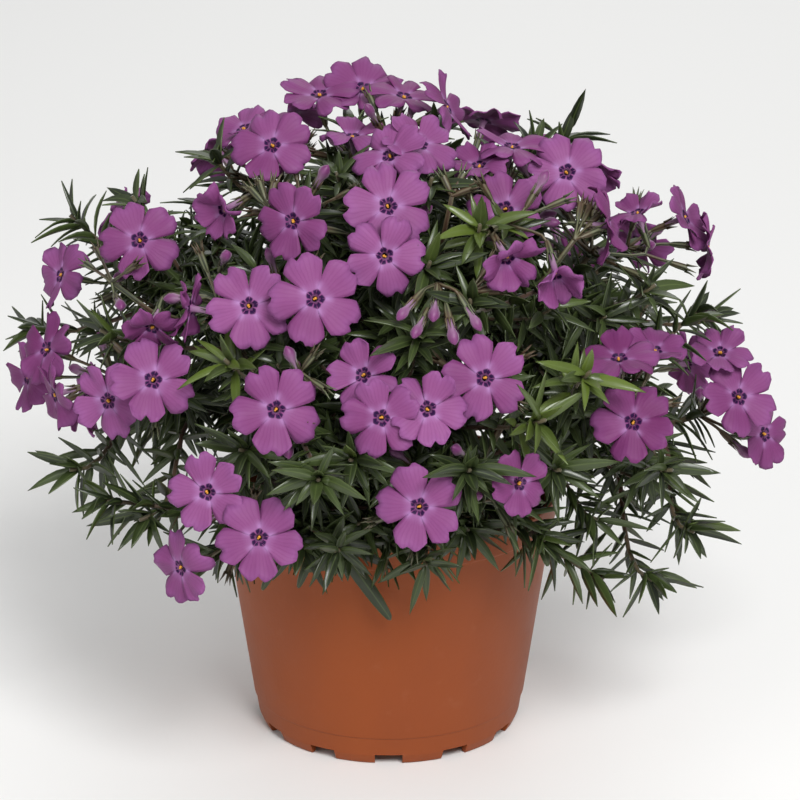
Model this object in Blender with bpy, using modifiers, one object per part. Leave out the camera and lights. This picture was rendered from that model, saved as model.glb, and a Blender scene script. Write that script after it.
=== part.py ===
"""Phlox plant in a round nursery pot: pot, soil, leafy stems and sprays of five-petalled blooms.

Metres, +Z up. The origin is the centre of the pot's base, and the plant is seen from -Y.
"""

import math
import random
from collections import namedtuple

import bmesh
import bpy
from mathutils import Vector
from mathutils.bvhtree import BVHTree

MM = 0.001

# Pot, a thin moulded shell on feet
POT_HEIGHT = 81.6 * MM
POT_RIM_RADIUS = 56.2 * MM
POT_BAND_HEIGHT = 9 * MM
POT_BAND_STEP = 0.9 * MM
POT_SKIRT_HEIGHT = 9.6 * MM
POT_SKIRT_RADIUS = 45 * MM
POT_FOOT_RADIUS = 42.4 * MM
POT_WALL = 1.5 * MM
POT_FLOOR_BOTTOM = 3.5 * MM
POT_SIDES = 36
FOOT_COUNT = 12
FOOT_GAP_WIDTH = 9 * MM
DRAIN_COUNT = 6
DRAIN_RADIUS = 3.5 * MM
DRAIN_CIRCLE = 27 * MM

# Soil, a filled plug with a low mound
SOIL_LEVEL = 71.5 * MM
SOIL_MOUND = 3 * MM
SOIL_GAP = 0.3 * MM
SOIL_SIDES = 16

# Where the photograph was taken from, which turns its pixels into places
VIEW_DISTANCE = 1.2
VIEW_ELEVATION = math.radians(19.5)
VIEW_FOCAL_PX = 3666
VIEW_CENTRE_PX = 400
VIEW_TARGET = Vector((3.7 * MM, 0, 110.8 * MM))

# The low dome that the blooms' eyes lie on
DOME_CENTRE = Vector((0, 0, 101.1 * MM))
DOME_RADII = Vector((118 * MM, 108 * MM, 112 * MM))

# Bloom: eye, five notched petals, tube and calyx
PETALS = 5
THROAT_RADIUS = 1.7 * MM
THROAT_DEPTH = 0.9 * MM
PETAL_HALF_THICKNESS = 0.4 * MM
CALYX_END = 12 * MM
CALYX_RADIUS = 1.15 * MM
PEDICEL_RADIUS = 0.65 * MM
HUB_DEPTH = 21 * MM
HUB_RADIUS = 1.3 * MM
HUB_LENGTH = 4 * MM
TOUCH_GAP = 0.3 * MM

# Stems and leaves
STEM_SIDES = 4
BRANCH_SIDES = 3
STEM_TIP_RADIUS = 1.0 * MM
STEM_BASE_RADIUS = 1.6 * MM
STEM_DEPTH = 12 * MM
STEM_HOLE_RADIUS = 2.3 * MM
BASE_APART = 6.5 * MM
PATH_TRIES = 30
LEAF_TRIES = 4
LEAF_LENGTHS = (16 * MM, 22 * MM)
SOIL_SPREAD = 37 * MM
LEAF_HALF_WIDTH = 1.9 * MM
LEAF_THICKNESS = 0.8 * MM
LEAF_WIDEST = 0.42
LEAF_SPACING = 28 * MM
LEAF_ROOT = 0.35 * MM
LEAF_CLEARANCE = 0.35 * MM
LEAVES_FROM = (0.72, 0.5)
LEAVES_TO = 0.93
MAIN_STATIONS = 6
BRANCH_STATIONS = 4
SHARP_ANGLE = math.radians(35)

Bloom = namedtuple("Bloom", "place face size cup roll")
Spray = namedtuple("Spray", "name blooms")
Stem = namedtuple("Stem", "name sprays shoots")


def photo_ray(u, v):
    """The viewpoint, and the direction in which it sees the photograph's pixel (u, v)."""
    toward = Vector((0, -math.cos(VIEW_ELEVATION), math.sin(VIEW_ELEVATION)))
    up = Vector((0, math.sin(VIEW_ELEVATION), math.cos(VIEW_ELEVATION)))
    eye = VIEW_TARGET + toward * VIEW_DISTANCE
    across = (u - VIEW_CENTRE_PX) / VIEW_FOCAL_PX
    rise = (VIEW_CENTRE_PX - v) / VIEW_FOCAL_PX
    return eye, (Vector((1, 0, 0)) * across + up * rise - toward).normalized()


def on_dome(u, v, reach):
    """The place on the dome's near side that shows at pixel (u, v), moved nearer by reach."""
    eye, look = photo_ray(u, v)
    start = Vector([(eye[i] - DOME_CENTRE[i]) / DOME_RADII[i] for i in range(3)])
    step = Vector([look[i] / DOME_RADII[i] for i in range(3)])
    a, b, c = step.dot(step), start.dot(step), start.dot(start) - 1
    miss = b * b - a * c
    distance = (-b - math.sqrt(miss)) / a if miss > 0 else -b / a
    return eye + look * (distance - reach)


def facing(turn, lift):
    """A direction turned to the right and lifted, in degrees, from one straight at the viewpoint."""
    turn, lift = math.radians(turn), math.radians(lift)
    toward = Vector((0, -math.cos(VIEW_ELEVATION), math.sin(VIEW_ELEVATION)))
    up = Vector((0, math.sin(VIEW_ELEVATION), math.cos(VIEW_ELEVATION)))
    level = toward * math.cos(turn) + Vector((1, 0, 0)) * math.sin(turn)
    return (level * math.cos(lift) + up * math.sin(lift)).normalized()


def seen(u, v, turn, lift, size, roll=0, cup=4, reach=0):
    """A bloom whose eye shows at pixel (u, v). Size is its width and reach its nearness, in mm."""
    place, face = on_dome(u, v, reach * MM), facing(turn, lift)
    return Bloom(place, face, size * MM, math.radians(cup), math.radians(roll))


def outward(azimuth, elevation):
    """The direction that lies this many degrees round from +Y and up from the level."""
    azimuth, elevation = math.radians(azimuth), math.radians(elevation)
    level = Vector((math.sin(azimuth), math.cos(azimuth), 0))
    return level * math.cos(elevation) + Vector((0, 0, math.sin(elevation)))


def behind(azimuth, elevation, size, roll=0, cup=4, tilt=0):
    """A bloom on the far side, placed by its direction from the dome's centre in degrees."""
    out = outward(azimuth, elevation)
    place = DOME_CENTRE + Vector([out[i] * DOME_RADII[i] for i in range(3)])
    face = (out + Vector((0, 0, math.tan(math.radians(tilt))))).normalized()
    return Bloom(place, face, size * MM, math.radians(cup), math.radians(roll))


def shoot_at(u, v, reach=0):
    """The tip of a leafy shoot with no bloom, which shows at pixel (u, v)."""
    return on_dome(u, v, reach * MM)


def shoot_behind(azimuth, elevation, reach=0):
    """The tip of a leafy shoot on the far side, by its direction from the dome's centre."""
    out = outward(azimuth, elevation)
    return DOME_CENTRE + Vector([out[i] * (DOME_RADII[i] + reach * MM) for i in range(3)])


# The plant, stem by stem. Sprays are named for where they show.
PLANT = [
    Stem("west", [Spray("west", [seen(139, 240, -8, 12, 27, 10), seen(60, 275, -60, 10, 25, 30)])],
         [shoot_at(132, 196), shoot_at(70, 215, -6)]),
    Stem("west_low", [Spray("west_edge", [seen(46, 349, -45, 15, 26, 0), seen(27, 377, -62, 0, 25, 20),
                                          seen(54, 395, -68, -15, 24, 50)]),
                      Spray("west_low", [seen(153, 380, 0, 5, 28, 5), seen(108, 401, -25, -12, 26, 30)])],
         [shoot_at(70, 470, -8), shoot_at(140, 520, -16)]),
    Stem("west_inner", [Spray("west_inner", [seen(190, 308, -105, 10, 23, 15, 10),
                                             seen(152, 328, -20, -50, 20, 0, 25, -6)])],
         [shoot_at(100, 330, -8)]),
    Stem("upper_left", [Spray("upper_left", [seen(272, 145, -5, 25, 27, 5),
                                             seen(243, 128, -42, 50, 23, 20, 10, -8)]),
                        Spray("left_bell", [seen(292, 221, -28, 0, 26, 15),
                                            seen(224, 210, -50, -25, 21, 0, 50)])],
         [shoot_at(212, 152, -6)]),
    Stem("crown_left", [Spray("crown_left", [seen(319, 94, -15, 52, 27, 0, 12),
                                             seen(363, 88, 4, 42, 28, 36, 12),
                                             seen(404, 96, 25, 55, 26, 10, 12, -8)])],
         []),
    Stem("crown", [Spray("crown", [seen(390, 155, -20, 40, 26, 20), seen(420, 144, 15, 42, 26, 0),
                                   seen(352, 136, -15, 70, 22, 0, 20, -22)])],
         [shoot_at(350, 118, -22), shoot_at(436, 128, -20)]),
    Stem("crown_right", [Spray("crown_right", [seen(448, 107, 75, 25, 26, 15, 10)]),
                         Spray("upper_right", [seen(512, 146, 20, 62, 26, 0, 12, -4),
                                               seen(479, 165, -10, 55, 21, 30, 20, -12)])],
         [shoot_at(432, 178, -4)]),
    Stem("centre", [Spray("centre", [seen(388, 206, 0, 5, 29, 0), seen(385, 256, 6, -8, 26, 30, 4, -4)]),
                    Spray("centre_left", [seen(249, 306, -4, 0, 28, 20),
                                          seen(315, 299, 3, 2, 30, 0, 2, 3)])],
         [shoot_at(430, 262, -6)]),
    Stem("right_high", [Spray("right_high", [seen(567, 172, 5, 10, 27, 5),
                                             seen(598, 166, 105, 30, 21, 0, 10, -16)]),
                        Spray("right_inner", [seen(505, 209, -5, 12, 26, 0, 4, -14)])],
         [shoot_at(480, 225, 2), shoot_at(570, 128, -14)]),
    Stem("right", [Spray("right", [seen(609, 226, 82, -5, 26, 0),
                                   seen(637, 212, -40, 60, 20, 10, 15, -10)]),
                   Spray("right_bells", [seen(507, 258, 30, -42, 23, 0, 48, 7),
                                         seen(556, 274, 20, -55, 23, 30, 48, 7)])],
         [shoot_at(470, 300, 2)]),
    Stem("east", [Spray("east", [seen(686, 217, 68, 20, 25, 10), seen(709, 247, 80, -5, 24, 40)])],
         [shoot_at(655, 285, -8)]),
    Stem("east_low", [Spray("east_low", [seen(619, 358, -5, 55, 26, 0, 10),
                                         seen(655, 350, 15, 48, 22, 30, 18, -14),
                                         seen(633, 422, 0, 5, 27, 10)])],
         [shoot_at(590, 372, 8), shoot_at(700, 310, -10), shoot_at(560, 470, -6)]),
    Stem("east_edge", [Spray("east_edge", [seen(739, 397, 18, 10, 27, 0), seen(765, 434, 42, 5, 24, 30),
                                           seen(720, 352, -5, 40, 22, 20, 15, -14)])],
         [shoot_at(672, 470, -4), shoot_at(694, 532, -22), shoot_at(655, 582, -34)]),
    Stem("middle", [Spray("middle", [seen(363, 375, -20, 15, 24, 10, 4, -6), seen(381, 418, -8, -4, 26, 0),
                                     seen(428, 409, 5, 5, 25, 30)]),
                    Spray("middle_right", [seen(485, 378, 3, 5, 28, 0)])],
         [shoot_at(420, 330, -4), shoot_at(545, 420, 4), shoot_at(350, 460, -6)]),
    Stem("middle_left", [Spray("middle_left", [seen(276, 410, 0, 0, 29, 10)])],
         [shoot_at(225, 360, -4), shoot_at(318, 480, 2), shoot_at(240, 450, -10)]),
    Stem("front_right", [Spray("front_right", [seen(520, 483, 35, -5, 22, 0)]),
                         Spray("front", [seen(419, 507, -3, 0, 28, 0)])],
         [shoot_at(604, 578, -36), shoot_at(545, 540, -38), shoot_at(470, 470, 2),
          shoot_at(468, 530, -40)]),
    Stem("front_left", [Spray("front_left", [seen(207, 492, -10, 0, 26, 0), seen(259, 538, 0, 0, 28, 15),
                                             seen(180, 568, -48, -15, 25, 0)])],
         [shoot_at(345, 548, -40), shoot_at(98, 500, -8), shoot_at(300, 545, -36),
          shoot_at(395, 545, -42)]),
    Stem("back_left", [Spray("back_left", [behind(-52, 22, 26), behind(-66, 34, 24, 20)]),
                       Spray("back_left_low", [behind(-62, -4, 27, 10), behind(-46, 2, 25, 30)])],
         [shoot_behind(-75, 12, 10), shoot_behind(-50, -12)]),
    Stem("back_left_top", [Spray("back_left_top", [behind(-30, 55, 27, 0), behind(-42, 44, 25, 20)])],
         [shoot_behind(-10, 40, -4)]),
    Stem("back", [Spray("back", [behind(-12, 24, 28, 5), behind(6, 30, 26, 30)]),
                  Spray("back_low", [behind(-18, -2, 27, 0), behind(2, 4, 27, 20)])],
         [shoot_behind(-4, -14, 3), shoot_behind(-32, 8)]),
    Stem("back_right_top", [Spray("back_right_top", [behind(26, 52, 27, 10), behind(38, 42, 24, 0)])],
         [shoot_behind(56, 58, -6)]),
    Stem("back_right", [Spray("back_right", [behind(34, 16, 27, 0), behind(52, 24, 26, 30)]),
                        Spray("back_right_low", [behind(40, -8, 26, 0), behind(60, 2, 25, 15)])],
         [shoot_behind(76, 16), shoot_behind(22, -10)]),
]


def new_collection(name):
    collection = bpy.data.collections.new(name)
    bpy.context.scene.collection.children.link(collection)
    return collection


def new_object(name, mesh, collection, material=None):
    obj = bpy.data.objects.new(name, mesh)
    collection.objects.link(obj)
    if material:
        obj.data.materials.append(material)
    return obj


def new_material(name, colour, roughness):
    material = bpy.data.materials.new(name)
    material.use_nodes = True
    shader = material.node_tree.nodes["Principled BSDF"]
    shader.inputs["Base Color"].default_value = (*colour, 1)
    shader.inputs["Roughness"].default_value = roughness
    shader.inputs["Metallic"].default_value = 0
    return material


def mesh_of(name, corners, faces):
    """A mesh of these corners and faces, with its faces turned outwards."""
    mesh = bpy.data.meshes.new(name)
    mesh.from_pydata(corners, [], faces)
    shape = bmesh.new()
    shape.from_mesh(mesh)
    bmesh.ops.recalc_face_normals(shape, faces=shape.faces)
    bmesh.ops.triangulate(shape, faces=shape.faces)
    shape.to_mesh(mesh)
    shape.free()
    return mesh


def applied(obj):
    """Applies the object's modifiers to its mesh."""
    graph = bpy.context.evaluated_depsgraph_get()
    mesh = bpy.data.meshes.new_from_object(obj.evaluated_get(graph))
    obj.modifiers.clear()
    obj.data = mesh


def fused(name, meshes, collection, material):
    """One object whose solid is the union of these meshes. The first is the one that the others join."""
    body = new_object(name, meshes[0], collection, material)
    if len(meshes) > 1:
        rest = new_collection("joined_to_" + name)
        for mesh in meshes[1:]:
            new_object(name + "_piece", mesh, rest)
        union = body.modifiers.new("Join", "BOOLEAN")
        union.operation = "UNION"
        union.solver = "MANIFOLD"
        union.operand_type = "COLLECTION"
        union.collection = rest
        applied(body)
        for piece in list(rest.objects):
            bpy.data.objects.remove(piece)
        bpy.data.collections.remove(rest)
    body.data.materials.clear()
    body.data.materials.append(material)
    return body


def turned(name, profile, sides, collection, material):
    """A solid turned about the Z axis from an open profile of (radius, height) points."""
    mesh = bpy.data.meshes.new(name)
    corners = [(radius, 0, height) for radius, height in reversed(profile)]
    mesh.from_pydata(corners, [(i, i + 1) for i in range(len(corners) - 1)], [])
    obj = new_object(name, mesh, collection, material)
    screw = obj.modifiers.new("Turn", "SCREW")
    screw.axis = "Z"
    screw.steps = screw.render_steps = sides
    screw.use_merge_vertices = True
    screw.merge_threshold = 0.00005
    return obj


def cutter(name, mesh, collection):
    obj = new_object(name, mesh, collection)
    obj.hide_render = True
    obj.display_type = "WIRE"
    return obj


def cut(obj, cutters):
    """Takes each cutter away from the object."""
    for number, tool in enumerate(cutters):
        modifier = obj.modifiers.new(f"Cut {number + 1}", "BOOLEAN")
        modifier.operation = "DIFFERENCE"
        modifier.solver = "MANIFOLD"
        modifier.object = tool


def prism(name, sides, radius, bottom, top, place):
    """An upright prism, as a mesh in world space."""
    mesh = bpy.data.meshes.new(name)
    shape = bmesh.new()
    bmesh.ops.create_cone(
        shape, cap_ends=True, segments=sides, radius1=radius, radius2=radius, depth=top - bottom
    )
    bmesh.ops.translate(shape, verts=shape.verts, vec=(place[0], place[1], (bottom + top) / 2))
    shape.to_mesh(mesh)
    shape.free()
    return mesh


def wall_radius(height):
    """The pot's outer radius on its plain wall."""
    top = POT_HEIGHT - POT_BAND_HEIGHT
    share = (height - POT_SKIRT_HEIGHT) / (top - POT_SKIRT_HEIGHT)
    return POT_SKIRT_RADIUS + share * (POT_RIM_RADIUS - 2 * POT_BAND_STEP - POT_SKIRT_RADIUS)


def box(name, size, place):
    """A box of this size, as a mesh centred on place."""
    mesh = bpy.data.meshes.new(name)
    shape = bmesh.new()
    bmesh.ops.create_cube(shape, size=1)
    bmesh.ops.scale(shape, verts=shape.verts, vec=size)
    bmesh.ops.translate(shape, verts=shape.verts, vec=place)
    shape.to_mesh(mesh)
    shape.free()
    return mesh


def make_pot(collection, cutters, material):
    """The moulded pot: feet, a sloping wall, a proud band at the rim and a floor with drain holes."""
    band_bottom = POT_HEIGHT - POT_BAND_HEIGHT
    floor_top = POT_FLOOR_BOTTOM + POT_WALL
    profile = [
        (0, POT_FLOOR_BOTTOM),
        (POT_FOOT_RADIUS - 2.2 * MM, POT_FLOOR_BOTTOM),
        (POT_FOOT_RADIUS - 1.8 * MM, 0),
        (POT_FOOT_RADIUS, 0),
        (POT_FOOT_RADIUS + 1.4 * MM, 3.2 * MM),
        (POT_SKIRT_RADIUS - 0.2 * MM, POT_SKIRT_HEIGHT),
        (POT_SKIRT_RADIUS + 0.2 * MM, POT_SKIRT_HEIGHT + 0.3 * MM),
        (wall_radius(band_bottom), band_bottom),
        (wall_radius(band_bottom) + POT_BAND_STEP, band_bottom + 0.6 * MM),
        (POT_RIM_RADIUS, POT_HEIGHT - 0.6 * MM),
        (POT_RIM_RADIUS - 0.6 * MM, POT_HEIGHT),
        (POT_RIM_RADIUS - POT_WALL - 0.4 * MM, POT_HEIGHT),
        (wall_radius(band_bottom) - POT_WALL, band_bottom - 1 * MM),
        (wall_radius(floor_top + 2 * MM) - POT_WALL, floor_top + 2 * MM),
        (POT_SKIRT_RADIUS - 4.5 * MM, floor_top),
        (0, floor_top),
    ]
    pot = turned("pot", profile, POT_SIDES, collection, material)
    applied(pot)
    gap = box("foot_gap", (FOOT_GAP_WIDTH, 12 * MM, 2 * POT_FLOOR_BOTTOM), (0, POT_FOOT_RADIUS, 0))
    tools = []
    for number in range(FOOT_COUNT):
        tool = cutter(f"foot_gap_{number + 1}", gap, cutters)
        tool.rotation_euler.z = math.tau * number / FOOT_COUNT
        tools.append(tool)
    for number in range(DRAIN_COUNT):
        turn = math.tau * (number + 0.5) / DRAIN_COUNT
        place = (DRAIN_CIRCLE * math.cos(turn), DRAIN_CIRCLE * math.sin(turn))
        hole = prism("drain_hole", 6, DRAIN_RADIUS, 0, 2 * floor_top, place)
        tools.append(cutter(f"drain_hole_{number + 1}", hole, cutters))
    cut(pot, tools)
    return pot


def make_soil(collection, cutters, material, stem_bases):
    """The plug of potting soil: a low mound with a plain hole where each stem stands."""
    bottom = POT_FLOOR_BOTTOM + POT_WALL + SOIL_GAP
    inset = POT_WALL + 2 * SOIL_GAP
    profile = [
        (0, bottom),
        (POT_SKIRT_RADIUS - 5.5 * MM, bottom),
        (wall_radius(bottom + 3 * MM) - inset, bottom + 3 * MM),
        (wall_radius(SOIL_LEVEL - 2 * MM) - inset, SOIL_LEVEL - 2 * MM),
        (wall_radius(SOIL_LEVEL) - inset - 2 * MM, SOIL_LEVEL),
        (SOIL_SPREAD * 0.6, SOIL_LEVEL + SOIL_MOUND * 0.8),
        (0, SOIL_LEVEL + SOIL_MOUND),
    ]
    soil = turned("soil", profile, SOIL_SIDES, collection, material)
    applied(soil)
    tools = []
    for number, (place, radius) in enumerate(stem_bases):
        hole = prism("stem_hole", 6, radius, place.z - TOUCH_GAP, POT_HEIGHT + SOIL_MOUND, place)
        tools.append(cutter(f"stem_hole_{number + 1}", hole, cutters))
    cut(soil, tools)
    return soil


def bezier(a, b, c, d, t):
    """A point on the cubic curve from a to d."""
    s = 1 - t
    return a * s**3 + b * 3 * s * s * t + c * 3 * s * t * t + d * t**3


def ring(centre, side, across, radius, count, phase=0.0):
    """Points of a circle round centre, in the plane of two unit vectors."""
    turns = [phase + math.tau * i / count for i in range(count)]
    return [centre + (side * math.cos(a) + across * math.sin(a)) * radius for a in turns]


def frame_of(axis, roll=0.0):
    """Two unit vectors square to the axis, turned round it by roll."""
    side = axis.cross(Vector((0, 0, 1)) if abs(axis.z) < 0.95 else Vector((1, 0, 0))).normalized()
    across = axis.cross(side).normalized()
    return (side * math.cos(roll) + across * math.sin(roll), across * math.cos(roll) - side * math.sin(roll))


def bloom_mesh(bloom, hub, seed):
    """One bloom as a closed mesh: five notched petals, then tube, calyx and pedicel to the hub."""
    chance = random.Random(seed)
    side, across = frame_of(bloom.face, bloom.roll)
    eye, face, reach = bloom.place, bloom.face, bloom.size / 2
    half_turn = -math.pi / PETALS
    sinus = ring(eye, side, across, THROAT_RADIUS, PETALS, half_turn)
    below = [point - face * THROAT_DEPTH for point in sinus]
    calyx_end = eye - face * CALYX_END
    rings = [
        below,
        ring(calyx_end, side, across, CALYX_RADIUS, PETALS, half_turn),
        ring(hub, *align(side, (calyx_end - hub).normalized()), PEDICEL_RADIUS, PETALS, half_turn),
    ]
    corners = [eye - face * 0.3 * MM] + sinus
    faces = []
    first = len(corners)
    for points in rings:
        corners += points
    for level in range(len(rings) - 1):
        for i in range(PETALS):
            j = (i + 1) % PETALS
            a, b = first + level * PETALS, first + (level + 1) * PETALS
            faces.append((a + i, a + j, b + j, b + i))
    faces.append(tuple(first + (len(rings) - 1) * PETALS + i for i in range(PETALS)))
    for i in range(PETALS):
        j = (i + 1) % PETALS
        turn = math.tau * i / PETALS
        out = side * math.cos(turn) + across * math.sin(turn)
        wide = face.cross(out)
        lift = bloom.cup + math.radians(chance.uniform(-7, 7))
        along = out * math.cos(lift) + face * math.sin(lift)
        normal = face * math.cos(lift) - out * math.sin(lift)
        length = reach - THROAT_RADIUS
        root = eye + out * THROAT_RADIUS * 0.8 - face * THROAT_DEPTH * 0.4

        def blade(share, half_width, rise):
            return root + along * length * share + wide * reach * half_width + normal * rise * MM

        outline = [
            blade(0.72, -0.38, -0.5),
            blade(0.98, -0.25, -0.9),
            blade(0.87, 0.0, -0.3),
            blade(0.98, 0.25, -0.9),
            blade(0.72, 0.38, -0.5),
        ]
        middle = blade(0.55, 0.0, 0.2)
        at = len(corners)
        rise = normal * PETAL_HALF_THICKNESS
        corners += outline + [middle + rise, middle - rise]
        top, bottom = at + 5, at + 6
        path = [1 + i, at, at + 1, at + 2, at + 3, at + 4, 1 + j]
        under = [first + i, at, at + 1, at + 2, at + 3, at + 4, first + j]
        faces += [(top, path[k], path[k + 1]) for k in range(6)]
        faces += [(bottom, under[k + 1], under[k]) for k in range(6)]
        faces += [(top, path[6], path[0]), (bottom, under[0], under[6]), (0, path[0], path[6])]
        faces += [(path[0], under[0], at), (path[6], at + 4, under[6])]
    return mesh_of("bloom", corners, faces)


def align(side, axis):
    """The two unit vectors nearest to side that are square to the axis."""
    near = (side - axis * side.dot(axis)).normalized()
    return near, axis.cross(near).normalized()


def tube_mesh(path, radii, sides, roll=0.0):
    """A tube through these points as a closed mesh, with its rings turned as little as can be."""
    corners, faces = [], []
    side = frame_of((path[1] - path[0]).normalized(), roll)[0]
    for i, point in enumerate(path):
        axis = (path[min(i + 1, len(path) - 1)] - path[max(i - 1, 0)]).normalized()
        side, across = align(side, axis)
        corners += ring(point, side, across, radii[i], sides)
    for i in range(len(path) - 1):
        for k in range(sides):
            m = (k + 1) % sides
            faces.append((i * sides + k, i * sides + m, (i + 1) * sides + m, (i + 1) * sides + k))
    faces.append(tuple(range(sides)))
    faces.append(tuple((len(path) - 1) * sides + k for k in range(sides)))
    return mesh_of("tube", corners, faces)


def leaf_mesh(root, axis, out, length, lean, droop, spare=0.0):
    """A lance-shaped leaf as a closed mesh, leaning from axis to out at its root, and then drooping."""
    start = axis * math.cos(lean) + out * math.sin(lean)
    end = (start + (out * 0.5 - Vector((0, 0, 0.8))) * droop).normalized()
    wide = axis.cross(out).normalized()
    normal = axis * math.sin(lean) - out * math.cos(lean)
    station = root + start * length * LEAF_WIDEST
    tip = station + end * (length * (1 - LEAF_WIDEST) + spare)
    left = station + wide * (LEAF_HALF_WIDTH + spare) + normal * (LEAF_THICKNESS * 0.3 + spare)
    right = station - wide * (LEAF_HALF_WIDTH + spare) + normal * (LEAF_THICKNESS * 0.3 + spare)
    keel = station - normal * (LEAF_THICKNESS * 0.7 + spare)
    faces = [(0, 1, 2), (0, 2, 3), (0, 3, 1), (4, 2, 1), (4, 3, 2), (4, 1, 3)]
    return mesh_of("leaf", [root, left, right, keel, tip], faces)


def hub_of(blooms):
    """Where the pedicels of a spray meet: behind its blooms, and drawn towards the middle of the plant."""
    mean = sum((bloom.place - bloom.face * HUB_DEPTH for bloom in blooms), Vector()) / len(blooms)
    return mean + (DOME_CENTRE - mean).normalized() * (2 * MM * len(blooms))


def tree_of(mesh, grow=0.0):
    """A search tree of the mesh's faces, with its points pushed out along their normals by grow."""
    points = [v.co + v.normal * grow for v in mesh.vertices]
    tree = BVHTree.FromPolygons(points, [tuple(p.vertices) for p in mesh.polygons])
    low = Vector([min(p[k] for p in points) for k in range(3)])
    high = Vector([max(p[k] for p in points) for k in range(3)])
    return tree, low, high


def touches(one, other):
    """Whether two search trees' surfaces cross."""
    if any(one[1][k] > other[2][k] or other[1][k] > one[2][k] for k in range(3)):
        return False
    return bool(one[0].overlap(other[0]))


def clear_of(tree, others):
    return not any(touches(tree, other) for other in others)


def bases_of(plant, targets):
    """Where each stem leaves the soil: under its own side of the plant, and apart from the others."""
    bases = []
    for stem, target in zip(plant, targets):
        lean = (target - Vector((0, 0, SOIL_LEVEL))).normalized()
        polar = math.acos(max(-1, min(1, lean.z)))
        out = Vector((lean.x, lean.y)).normalized()
        bases.append(out * min(SOIL_SPREAD, SOIL_SPREAD * polar / math.radians(95)))
    for _ in range(60):
        for i, one in enumerate(bases):
            for other in bases[:i]:
                apart = one - other
                short = BASE_APART - apart.length
                if short > 0:
                    push = apart.normalized() * short / 2
                    one += push
                    other -= push
            if one.length > SOIL_SPREAD:
                one *= SOIL_SPREAD / one.length
    return [Vector((base.x, base.y, SOIL_LEVEL + SOIL_MOUND * 0.5)) for base in bases]


def path_between(start, lead, tip, arrive, stations, sway):
    """A smooth path from start, leaving along lead, to tip, arriving along arrive. Sway bows it."""
    span = (tip - start).length
    a, b = start + lead * span * 0.36 + sway, tip - arrive * span * 0.34 + sway
    return [bezier(start, a, b, tip, i / (stations - 1)) for i in range(stations)]


def grown(start, lead, tip, arrive, stations, sides, radii, others, seed):
    """The first path of a few seeded tries whose tube keeps clear of the others, and its mesh."""
    chance = random.Random(seed)
    best = None
    for attempt in range(PATH_TRIES):
        swing = attempt * 0.6 * MM
        sway = Vector([chance.uniform(-swing, swing) for _ in range(3)])
        path = path_between(start, lead, tip, arrive, stations, sway)
        sizes = [radii[0] + (radii[1] - radii[0]) * i / (stations - 1) for i in range(stations)]
        mesh = tube_mesh(path, sizes, sides)
        best = best or (path, mesh)
        if clear_of(tree_of(mesh, TOUCH_GAP / 2), others):
            return path, mesh
    return best


def leaves_on(path, first, last, spacing, others, seed, end_tuft):
    """Pairs of leaves along a path, each square to the one before, where they keep clear of the others."""
    chance = random.Random(seed)
    meshes = []
    lengths = [0.0]
    for a, b in zip(path, path[1:]):
        lengths.append(lengths[-1] + (b - a).length)
    total = lengths[-1]
    pairs = max(1, round((last - first) * total / spacing))
    for pair in range(pairs + end_tuft):
        share = last if pair >= pairs else last - (last - first) * pair / pairs
        walk = share * total
        span = max(i for i in range(len(path) - 1) if lengths[i] <= walk)
        axis = (path[span + 1] - path[span]).normalized()
        root = path[span] + axis * (walk - lengths[span])
        side, across = frame_of(axis, pair * math.pi / 2 + chance.uniform(-0.3, 0.3))
        for out in (side, -side):
            for attempt in range(LEAF_TRIES):
                turn = chance.uniform(-0.25, 0.25) * (1 + attempt)
                away = out * math.cos(turn) + across * math.sin(turn)
                length = chance.uniform(*LEAF_LENGTHS) * (0.72 if pair >= pairs else 1)
                lean = math.radians(chance.uniform(16, 30) if pair >= pairs else chance.uniform(38, 66))
                droop = chance.uniform(0.0, 0.9)
                foot = root + away * LEAF_ROOT
                test = leaf_mesh(foot, axis, away, length, lean, droop, LEAF_CLEARANCE)
                if clear_of(tree_of(test), others):
                    meshes.append(leaf_mesh(foot, axis, away, length, lean, droop))
                    break
    return meshes


def tip_heading(tip, blooms):
    """The direction in which a stem reaches its tip: out of the plant, and the way its blooms face."""
    out = (tip - DOME_CENTRE + Vector((0, 0, 30 * MM))).normalized()
    for bloom in blooms:
        out += bloom.face * 0.3 / len(blooms)
    return out.normalized()


def make_spray(spray, collection, material):
    """A spray of blooms whose pedicels meet in one small knob, and where its stem's tip comes."""
    hub = hub_of(spray.blooms)
    heading = tip_heading(hub, spray.blooms)
    low, high = hub - heading * HUB_LENGTH / 2, hub + heading * HUB_LENGTH / 2
    meshes = [tube_mesh([low, high], [HUB_RADIUS, HUB_RADIUS * 0.8], 5)]
    for number, bloom in enumerate(spray.blooms):
        meshes.append(bloom_mesh(bloom, hub, f"{spray.name} {number}"))
    obj = fused("spray_" + spray.name, meshes, collection, material)
    return obj, low - heading * TOUCH_GAP, heading


def smoothed(obj):
    """Shades the object's round faces smooth and keeps its edges sharp."""
    obj.data.shade_smooth()
    obj.data.set_sharp_from_angle(angle=SHARP_ANGLE)


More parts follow.
